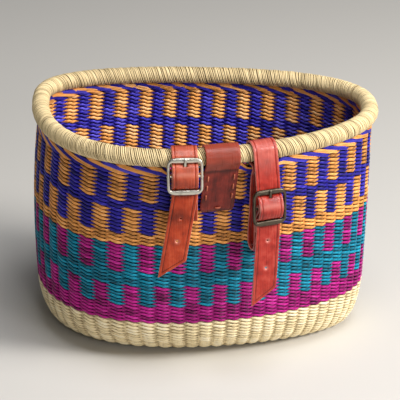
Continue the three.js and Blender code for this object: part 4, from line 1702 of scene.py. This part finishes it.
@dataclass
class Belt:
    """A leather belt looped over the rim, its free tail and its buckle."""

    shell: Shell
    at: BeltPlace
    width: float = 25.0
    thick: float = 2.4
    clearance: float = 0.7
    fit: float = 0.3
    slit: float = 1.0
    inner_lines: Triple = (0.7, 4.5, 6.6)
    line_steps: int = 5
    rim_steps: int = 10
    bend_steps: int = 4
    fold_steps: int = 8
    leg_points: int = 3
    back_bend: float = 4.0
    leg_settle: float = 12.0
    loop_drop: float = 51.0
    fold_length: float = 27.0
    foot_run: float = 1.6
    bow: tuple[Pair, ...] = ((-0.2, 2.0), (-0.8, 4.3), (-2.0, 7.2), (-4.1, 10.4))
    slot_levels: Pair = (9.4, 12.6)
    slot_depth: float = -2.0
    # painted highlights: paler leather where the belt bows over the buckle's bar and where it runs over the
    # rim
    buckle_highlight: float = 0.28
    buckle_highlight_level: float = 3.0
    buckle_highlight_half: float = 3.0
    rim_highlight: float = 0.16
    rim_highlight_foot: float = -22.0
    rim_highlight_ease: float = 20.0
    tail_length: float = 69.0
    tail_tip: float = 17.0
    tail_start: float = 1.8
    tail_drop: float = 0.8
    tail_corner: float = 0.8
    tail_spacing: float = 1.5
    tail_bow: float = 0.8
    flex_levels: Pair = (1.2, -8.0)
    hole_radius: float = 1.1
    rod_sides: int = 16
    rod_rub_power: int = 3
    frame_height: float = 36.0
    frame_width: float = 35.0
    frame_stock: float = 4.0
    frame_thick: float = 3.6
    frame_corner: float = 5.2
    frame_side: float = 3.0
    frame_bow: float = 0.75
    frame_bow_power: int = 4
    frame_spacing: float = 1.2
    frame_square: float = 0.75
    lead_in: float = 1.0
    bar_radius: float = 1.2
    bar_play: float = 0.2
    bar_proud: float = 0.3
    bar_end: tuple[Pair, ...] = ((0.0, 0.5), (0.3, 1.1), (0.8, 1.3), (1.5, 1.2))
    prong_width: float = 2.6
    prong_stock: float = 1.6
    prong_over: float = 0.8
    prong_play: float = 0.8
    prong_eye: Pair = (112.0, 438.0)
    prong_eye_steps: int = 12
    prong_rise: tuple[Pair, ...] = ((1.5, 7.5), (2.3, 11.5))
    prong_landing: float = 14.5
    prong_end: tuple[Pair, ...] = ((0.1, -1.2), (-0.5, 0.0))
    prong_taper: Pair = (0.06, 0.45)
    prong_steps: int = 4
    prong_square: float = 0.8
    rivet_radius: float = 3.6
    rivet_head: float = 0.6
    rivet_end: tuple[Pair, ...] = ((0.0, 0.55), (0.15, 0.86), (0.5, 1.0), (0.62, 0.5))

    def __post_init__(self) -> None:
        """Works out the layers of leather behind and round the buckle's bar."""
        tilt = math.radians(self.at.tilt)
        self.hide = Hide(self.thick / 2)
        self.rim_arc = self.shell.rim_radius + self.clearance + self.thick / 2
        self.station = Station.on_rim(self.shell, self.at.place)
        self.hung = np.array([self.rim_arc + self.thick / 2 + self.at.stand_off, -self.at.drop])
        self.tilted = np.array([[math.cos(tilt), math.sin(tilt)], [-math.sin(tilt), math.cos(tilt)]])
        self.buckle = self.station.moved(*self.hung, tilt)
        self.front = -(self.frame_thick / 2 + self.fit + self.thick / 2)
        self.fold = self.front - self.thick - self.rivet_head - 2 * self.fit
        self.back = self.fold - self.thick - 2 * self.fit
        self.fold_radius = self.bar_radius + self.fit + self.thick / 2
        self.over_bar = self.fold_radius + self.thick + 2 * self.fit
        self.rise = self.frame_height / 2 - self.frame_stock - self.lead_in
        self.tail_top = -(self.frame_height / 2 + self.tail_drop)
        reach = math.hypot(self.front, self.rise)
        self.tangent = math.atan2(self.rise, self.front) - math.acos(self.over_bar / reach)

    def front_layer(self) -> Array:
        """Gives the layer that passes behind the frame's foot, over the bar and behind the frame's top.

        Returns:
            Points in the buckle's frame, outward and up.
        """
        start = self.tail_top + self.tail_start
        bow = np.array(self.bow) + np.array([self.over_bar, 0.0])
        return np.concatenate([
            [(self.front, start), (self.front, -self.rise - self.foot_run), (self.front, -self.rise)],
            bow[::-1] * np.array([1, -1]),
            [(self.over_bar, 0.0)],
            bow,
            [(self.front, self.rise), (self.front, self.frame_height / 2)],
        ])

    def fold_layers(self) -> Array:
        """Gives the belt's end: up behind the front layer, round the bar and down to the rivet.

        Returns:
            Points in the buckle's frame, outward and up.
        """
        level = (self.fold_radius - self.fold * math.cos(self.tangent)) / math.sin(self.tangent)
        behind = math.atan2(-level, self.back) % TURN
        behind -= math.acos(self.fold_radius / math.hypot(self.back, level))
        middle = (-self.fold_length - level) / 2
        return np.concatenate([
            [(self.back, -self.fold_length), (self.back, middle), (self.back, -level)],
            arc(self.fold_radius, behind, -self.tangent, self.fold_steps),
            [(self.fold, -level), (self.fold, middle), (self.fold, -self.fold_length)],
        ])

    def leg(self, level: float) -> Pair:
        """Gives the point of the back leg at a level, against the wall."""
        reach = self.station.wall_reach(self.shell, level, self.shell.thickness / 2, self.width)
        return reach + self.fit + self.slit + self.thick / 2, level

    def line(self) -> tuple[Array, int, int]:
        """Draws the belt from behind the frame's foot to its riveted end.

        Returns:
            The line at the station, and the indices where its front layer ends and its fold starts.
        """
        front = self.front_layer() @ self.tilted + self.hung
        fold = self.fold_layers() @ self.tilted + self.hung
        over_rim = arc(self.rim_arc, math.radians(self.at.rim_leave), 0.75 * TURN, self.rim_steps)
        bend_centre = np.array([self.shell.thickness / 2 + self.slit, -self.rim_arc - self.back_bend])
        bend = arc(self.back_bend, TURN / 4, 0, self.bend_steps) + bend_centre
        bottom = -self.at.drop - self.loop_drop
        foot = bottom + (fold[0, 0] - self.leg(bottom)[0]) / 2
        levels = np.linspace(-self.rim_arc - self.leg_settle, foot, self.leg_points)
        leg = np.array([self.leg(level) for level in levels])
        middle = np.array([(leg[-1, 0] + fold[0, 0]) / 2, foot])
        around = arc((fold[0, 0] - leg[-1, 0]) / 2, TURN / 2, TURN, self.bend_steps)[1:] + middle
        points = np.concatenate([front, over_rim, bend, leg, around, fold])
        ends = len(front) * self.line_steps, (len(points) - len(fold)) * self.line_steps
        return smooth_line(points, self.line_steps), *ends

    def strap(self) -> Piece:
        """Builds the belt without its tail.

        Returns:
            The piece.
        """
        skin = Skin()
        line, front_end, fold_start = self.line()
        out, level = ((line - self.hung) @ self.tilted.T).T
        index = np.arange(len(line))
        in_front = index < front_end
        lowest, highest = self.slot_levels
        pierced = in_front & (out > self.slot_depth) & (level > lowest) & (level < highest)
        round_bar = (index >= fold_start) & (np.hypot(out, level) < self.over_bar - self.thick / 2)
        # painted highlight over the buckle's bar and over the rim
        near_buckle = bell((level - self.buckle_highlight_level) / self.buckle_highlight_half) * in_front
        near_rim = np.clip((line[:, 1] - self.rim_highlight_foot) / self.rim_highlight_ease, 0, 1) * (line[:, 0] > 0)
        paled_by_wear_and_light = np.maximum(self.buckle_highlight * near_buckle, self.rim_highlight * near_rim)
        half_slot = self.prong_width / 2 + self.prong_play
        across = self.hide.lines(self.width / 2, (half_slot, *self.inner_lines))
        still = np.zeros(len(line))
        opened = (pierced | round_bar, half_slot)
        self.hide.strip(skin, self.station, line, across, still, still + 1, paled_by_wear_and_light, opened)
        return skin.build(f"{self.at.side}_belt_leather", self.at.leather)

    def tail(self) -> Piece:
        """Builds the free tail with its punched holes and slanted tip.

        Returns:
            The piece.
        """
        skin = Skin()
        half, slant = self.width / 2, math.tan(math.radians(self.at.slant))
        top, long, short = self.tail_top, self.tail_length + self.tail_tip, self.tail_length
        corners = np.array([
            (top + self.tail_start, -half),
            (top, -half),
            (top - short, short * slant - half),
            (top - long, long * slant + half),
            (top, half),
            (top + self.tail_start, half),
        ])
        outline = rounded_outline(corners, self.tail_corner, self.tail_spacing)
        holes = [(np.array([top - level, level * slant]), self.hole_radius) for level in self.at.holes]
        place = self.buckle.moved(self.front, 0.0, 0.0)
        self.hide.plate(skin, place, outline, holes, self.tail_bow, self.at.stain)
        return skin.build(f"{self.at.side}_tail_leather", self.at.leather)

    def rod(self, name: str, path: Array, normal: Array, binormal: Array, halves: Array, power: float,
            ring: bool) -> Piece:
        """Builds a metal rod of rounded section along a path in the buckle's frame.

        Args:
            name: The piece's name.
            path: The path's points.
            normal: The first direction of the section, at each point or for all.
            binormal: The second direction.
            halves: Half the section's size in both directions at each point.
            power: How square the section is.
            ring: Whether the path is closed.

        Returns:
            The piece.
        """
        skin = Skin()
        sides = self.rod_sides
        turn = circle(sides)
        cosine, sine = (np.sign(part) * np.abs(part) ** power for part in (np.cos(turn), np.sin(turn)))
        points = sections(path, normal, binormal, halves[:, :1] * cosine, halves[:, 1:] * sine)
        faces = [tube_faces(len(path), sides, ring)]
        if not ring:
            fan = np.arange(1, sides - 1)
            start = np.stack([np.zeros_like(fan), fan, fan + 1], axis=-1)
            faces += [start, start[:, ::-1] + (len(path) - 1) * sides]
        paled_by_wear_and_light = np.clip(cosine, 0, 1) ** self.rod_rub_power
        skin.add(self.buckle.world(points.reshape(-1, 3)), faces, points, paled_by_wear_and_light)
        return skin.build(f"{self.at.side}_{name}", self.at.metal)

    def turned(self, name: str, axes: Array, level: float, places: Array, radii: Array) -> Piece:
        """Builds a round metal piece along one direction of the buckle's frame.

        Args:
            name: The piece's name.
            axes: The direction that it runs in and the two across it, one row each.
            level: How far up it lies.
            places: Places along the direction.
            radii: Its radius at each place.

        Returns:
            The piece.
        """
        path = np.outer(places, axes[0]) + np.array([0.0, level, 0.0])
        return self.rod(name, path, axes[1:2], axes[2:], np.column_stack([radii, radii]), 1.0, False)

    def buckle_frame(self) -> Piece:
        """Builds the buckle's frame: a rounded, slightly bowed ring.

        Returns:
            The piece.
        """
        half_stock, half_side = self.frame_stock / 2, self.frame_side / 2
        across, high = self.frame_width / 2 - half_side, self.frame_height / 2 - half_stock
        corners = np.array([(high, -across), (high, across), (-high, across), (-high, -across)])
        flat = rounded_outline(corners, self.frame_corner, self.frame_spacing)
        tangent = unit(np.roll(flat, -1, axis=0) - np.roll(flat, 1, axis=0))
        outer = np.stack([tangent[:, 1], -tangent[:, 0]], axis=-1)
        outer = outer * np.sign((outer * flat).sum(-1))[:, None]
        bar = np.abs(outer[:, 0]) * (1 - (flat[:, 1] / across) ** self.frame_bow_power)
        level = np.zeros(len(flat))
        normal = np.array([[1.0, 0.0, 0.0]])
        broad = half_side + (half_stock + self.frame_bow - half_side) * bar
        halves = np.column_stack([level + self.frame_thick / 2, broad])
        path, binormal = np.column_stack([level, flat]), np.column_stack([level, outer])
        return self.rod("buckle_frame_ring", path, normal, binormal, halves, self.frame_square, True)

    def centre_bar(self) -> Piece:
        """Builds the centre bar with its flattened ends.

        Returns:
            The piece.
        """
        depth, radius = np.array(self.bar_end).T
        end = self.frame_width / 2 + self.bar_proud
        places = np.concatenate([depth - end, [0.0], (end - depth)[::-1]])
        radii = np.concatenate([radius, [self.bar_radius], radius[::-1]])
        return self.turned("centre_bar_rod", np.eye(3)[[2, 0, 1]], 0.0, places, radii)

    def rivet(self) -> Piece:
        """Builds the rivet that closes the fold.

        Returns:
            The piece.
        """
        depth, share = np.array(self.rivet_end).T
        margin = self.thick / 2 + self.fit + self.rivet_head
        places = np.concatenate([self.back - margin + depth, (self.fold + margin - depth)[::-1]])
        radii = np.concatenate([share, share[::-1]]) * self.rivet_radius
        level = (self.tail_top - self.fold_length) / 2
        return self.turned("fold_rivet_heads", np.eye(3), level, places, radii)

    def prong(self) -> Piece:
        """Builds the prong: an eye round the bar and a finger that rests on the frame's top.

        Returns:
            The piece.
        """
        eye = self.bar_radius + self.bar_play + self.prong_stock / 2
        rest = self.frame_thick / 2 + self.bar_play + self.prong_stock / 2
        tip = self.frame_height / 2 + self.prong_over
        start, end = np.radians(self.prong_eye)
        flat = smooth_line(np.concatenate([
            arc(eye, start, end, self.prong_eye_steps),
            self.prong_rise,
            [(rest, self.prong_landing)],
            np.array(self.prong_end) + np.array([rest, tip]),
        ]), self.prong_steps)
        tangent = unit(np.gradient(flat, axis=0))
        level = np.zeros(len(flat))
        normal = np.column_stack([tangent[:, 1], -tangent[:, 0], level])
        binormal = np.array([[0.0, 0.0, 1.0]])
        tapered, slimmest = self.prong_taper
        taper = np.clip(np.linspace(1, 0, len(flat)) / tapered, slimmest, 1.0)
        halves = np.column_stack([taper * self.prong_stock / 2, taper * self.prong_width / 2])
        path = np.column_stack([flat, level])
        return self.rod("prong_finger", path, normal, binormal, halves, self.prong_square, False)

    def dress(self) -> None:
        """Builds the belt's pieces and puts each on its body, except the tail, which is left without a
        body.
        """
        side, slot = self.at.side, self.at.metal.value.name
        strap = f"{side}_strap"
        settle(self.strap(), strap, "belt_leather", f"{side}_belt")
        tail = self.tail()
        start, end = (self.buckle.world(np.array([self.front, self.tail_top + level, 0.0])) * MM
                      for level in self.flex_levels)
        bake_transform(tail)
        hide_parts(f"{side}_tail")
        settle(self.buckle_frame(), strap, slot, f"{side}_buckle_frame")
        settle(self.centre_bar(), strap, slot, f"{side}_centre_bar")
        settle(self.rivet(), strap, slot, f"{side}_fold_rivet")
        settle(self.prong(), f"{side}_tongue", slot, f"{side}_prong")


@dataclass
class Patch:
    """The leather patch folded over the rim, and the lace that sews it through the wall."""

    shell: Shell
    place: float = 18.2
    width: float = 34.0
    thick: float = 2.2
    flap: float = 58.0
    clearance: float = 0.5
    fit: float = 0.3
    drop: float = 18.0
    flap_settle: float = 4.4
    shift: float = 2.4
    flap_lean: float = 4.2
    rim_steps: int = 10
    line_steps: int = 6
    inner_lines: tuple[float, ...] = (0.0001, 2.5, 5.0, 7.5, 10.0)
    corner_draw: float = 0.09
    corner_reach: float = 3.0
    # painted light on the roll over the rim, and painted shadow on the flap just under it
    roll_light: float = 0.5
    roll_level: float = -6.0
    roll_reach: float = 30.0
    roll_foot: float = -13.0
    fold_shade: float = 0.6
    fold_level: float = -14.0
    fold_half: float = 2.0
    lace_width: float = 1.6
    lace_play: float = 0.35
    lace_margin: float = 4.0
    lace_stitch: float = 4.5
    lace_drop: float = 10.0
    lace_sides: int = 10
    lace_corner: float = 1.1
    lace_corner_steps: int = 5
    lace_swell: float = 0.12
    lace_swell_waves: float = 0.9
    lace_guide: Triple = (0.31, 0.57, 0.76)
    side_stitches: int = 3

    def __post_init__(self) -> None:
        """Finds where the patch lies."""
        self.station = Station.on_rim(self.shell, self.place)
        self.hide = Hide(self.thick / 2, crease_depth=0.0)

    def face(self, level: float, outset: float) -> Pair:
        """Gives the middle of a flap at a level, on one face of the wall."""
        reach = self.station.wall_reach(self.shell, level, outset, self.width)
        return reach + math.copysign(self.clearance + self.thick / 2, outset), level

    def lean(self, level: Array) -> Array:
        """Tells how far the outside flap leans along the rim at levels below it."""
        rim = self.shell.rim_radius
        return self.flap_lean * np.clip((-level - rim) / (self.flap - rim), 0, 1)

    def line(self) -> Array:
        """Draws the patch from the foot of its inside flap to the foot of its outside flap.

        Returns:
            The line at the station.
        """
        half = self.shell.thickness / 2
        radius = self.shell.rim_radius + self.clearance + self.thick / 2 + self.fit
        under = -radius - self.thick
        levels = [under, under - self.flap_settle, (under - self.flap) / 2, -self.flap]
        inside = [self.face(level, -half) for level in reversed(levels)]
        outside = [self.face(level, half) for level in levels]
        turn = math.radians(self.drop)
        over_rim = arc(radius, TURN / 2 + turn, -turn, self.rim_steps)
        return smooth_line(np.concatenate([inside, over_rim, outside]), self.line_steps)

    def leather(self) -> Piece:
        """Builds the patch.

        Returns:
            The piece.
        """
        skin = Skin()
        line = self.line()
        out, level = line.T
        across = self.hide.lines(self.width / 2, self.inner_lines)
        length = run(line)
        end = np.minimum(length, length[-1] - length)
        narrow = 1 - self.corner_draw * np.clip(1 - end / self.corner_reach, 0, 1) ** 2
        shift = self.lean(level) * (length > length[-1] / 2) + self.shift
        # painted light: the roll over the rim paler; painted shadow: the flap darker just under the roll
        away = np.hypot(out, np.minimum(level - self.roll_level, 0)) / self.roll_reach
        lit_roll = self.roll_light * np.clip(1 - away, 0, 1) * (level > self.roll_foot)
        shaded = self.fold_shade * bell((level - self.fold_level) / self.fold_half) * (out > 0)
        self.hide.strip(skin, self.station, line, across, shift, narrow, lit_roll - shaded)
        return skin.build("rim_patch_leather", Finish.PATCH_LEATHER)

    def stitch_places(self) -> list[Pair]:
        """Lists where the lace pierces the patch, down one side, along the foot and up the other.

        Returns:
            Levels and places along the rim.
        """
        side, foot = self.width / 2 - self.lace_margin, self.flap - self.lace_margin
        top = self.shell.rim_radius + self.lace_drop
        pitch = (foot - self.lace_margin - top) / self.side_stitches
        levels = [-top - stitch * pitch for stitch in range(self.side_stitches)]
        down = [(level - step, side) for level in levels for step in (0.0, self.lace_stitch)]
        up = [(level, -side) for level, side in reversed(down)]
        return down + [(-foot, self.lace_stitch / 2), (-foot, -self.lace_stitch / 2)] + up

    def lace(self) -> Piece:
        """Builds the lace.

        Returns:
            The piece.
        """
        skin = Skin()
        half = self.shell.thickness / 2
        proud = self.thick / 2 + self.lace_play + self.lace_width / 2
        points = []
        for index, (level, side) in enumerate(self.stitch_places()):
            along = side + self.shift
            outside = (self.face(level, half)[0] + proud, level, along + float(self.lean(level)))
            inside = (self.face(level, -half)[0] - proud, level, along)
            points += [inside, outside] if index % 2 == 0 else [outside, inside]
        points = np.array(points)
        corners = [rounded_corner(*points[index:index + 3], self.lace_corner, self.lace_corner_steps)
                   for index in range(len(points) - 2)]
        line = np.concatenate([points[:1], *corners, points[-1:]])
        tangent = unit(np.gradient(line, axis=0))
        guide = unit(np.cross(tangent, np.array(self.lace_guide)))
        turn = circle(self.lace_sides)
        cosine, sine = np.cos(turn), np.sin(turn)
        length = run(line)
        thick = self.lace_width / 2 * (1 + self.lace_swell * np.sin(length * self.lace_swell_waves))
        across, through = thick[:, None] * cosine, thick[:, None] * sine
        local = sections(line, guide, np.cross(tangent, guide), across, through)
        faces = tube_faces(len(line), self.lace_sides, False)[:, ::-1]
        skin.add(self.station.world(local.reshape(-1, 3)), [faces], grained(length, cosine, sine), 0.0)
        return skin.build("patch_lace", Finish.LACE)

    def dress(self) -> None:
        """Builds the patch and its lace and puts them on the basket."""
        settle(self.leather(), "basket", "patch_leather", "rim_patch")
        settle(self.lace(), "basket", "lace_leather", "patch_lacing")


@dataclass(frozen=True)
class Lamp:
    """A soft round lamp: where it hangs, how wide it is, its power and its colour."""

    name: str
    at: Triple
    size: float
    power: float
    colour: str = "ffffff"


@dataclass(frozen=True)
class Studio:
    """The floor, the light and the camera, in metres."""

    camera_at: Triple = (-0.0020, -1.5523, 0.8521)
    camera_to: Triple = (-0.0020, 0.0350, 0.1119)
    lens: float = 146.0
    shift: Pair = (0.0087, 0.042)
    floor_half: float = 6.0
    sky: float = 0.115
    sky_colour: str = "eef1f5"
    lamps_to: Triple = (0.0, 0.0, 0.13)
    lamps: tuple[Lamp, ...] = (
        Lamp("key_lamp", (1.9, -0.85, 1.6), size=0.8, power=70.0, colour="fffcf8"),
        Lamp("top_lamp", (0.4, -0.6, 2.4), size=1.2, power=34.0, colour="fbfcff"),
        Lamp("left_glint_lamp", (0.42, -1.8, 0.98), size=0.34, power=3.6),
        Lamp("right_glint_lamp", (1.15, -1.5, 0.75), size=0.4, power=4.0),
    )

    @staticmethod
    def hang(name: str, data: bpy.types.ID, at: Triple, toward: Triple) -> Piece:
        """Puts a lamp or a camera in the scene.

        Args:
            name: Its name.
            data: The lamp or the camera.
            at: Where it hangs.
            toward: What it points at.

        Returns:
            The object.
        """
        hung = bpy.data.objects.new(name, data)
        hung.location = at
        hung.rotation_euler = (Vector(toward) - Vector(at)).to_track_quat("-Z", "Y").to_euler()
        bpy.context.scene.collection.objects.link(hung)
        return hung

    def floor(self) -> None:
        """Lays the pale floor."""
        skin = Skin()
        half = self.floor_half / MM
        points = np.array([(-half, -half, 0.0), (half, -half, 0.0), (half, half, 0.0), (-half, half, 0.0)])
        skin.add(points, [np.array([[0, 1, 2, 3]])], points, 0.0)
        skin.build("studio_floor", Finish.FLOOR)

    def light(self) -> None:
        """Sets the world's soft light and hangs the lamps."""
        world = bpy.data.worlds.new("studio_sky")
        bpy.context.scene.world = world
        world.use_nodes = True
        background = world.node_tree.nodes["Background"]
        background.inputs["Color"].default_value = linear(self.sky_colour)
        background.inputs["Strength"].default_value = self.sky
        for lamp in self.lamps:
            data = bpy.data.lights.new(lamp.name, "AREA")
            data.shape = "DISK"
            data.size = lamp.size
            data.energy = lamp.power
            data.color = linear(lamp.colour)[:3]
            self.hang(lamp.name, data, lamp.at, self.lamps_to)

    def camera(self) -> None:
        """Sets up the camera."""
        data = bpy.data.cameras.new("camera")
        data.lens = self.lens
        data.shift_x, data.shift_y = self.shift
        bpy.context.scene.camera = self.hang("camera", data, self.camera_at, self.camera_to)

    def set_up(self) -> None:
        """Makes the floor, the light and the camera."""
        self.floor()
        self.light()
        self.camera()
        bpy.context.scene.view_settings.view_transform = "Standard"


def write_sizes() -> None:
    """Updates the scene's view layer."""
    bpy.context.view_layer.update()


def main() -> None:
    """Builds every piece in order."""
    logging.basicConfig(level=logging.INFO, format="%(message)s")
    shell = Shell()
    belts = [Belt(shell, place) for place in BELTS]
    Weave(shell).dress([belt.station for belt in belts], belts[0].width / 2 + belts[0].slit)
    Rim(shell).dress()
    Patch(shell).dress()
    for belt in belts:
        belt.dress()
    Studio().set_up()
    write_sizes()


if __name__ == "__main__":
    main()
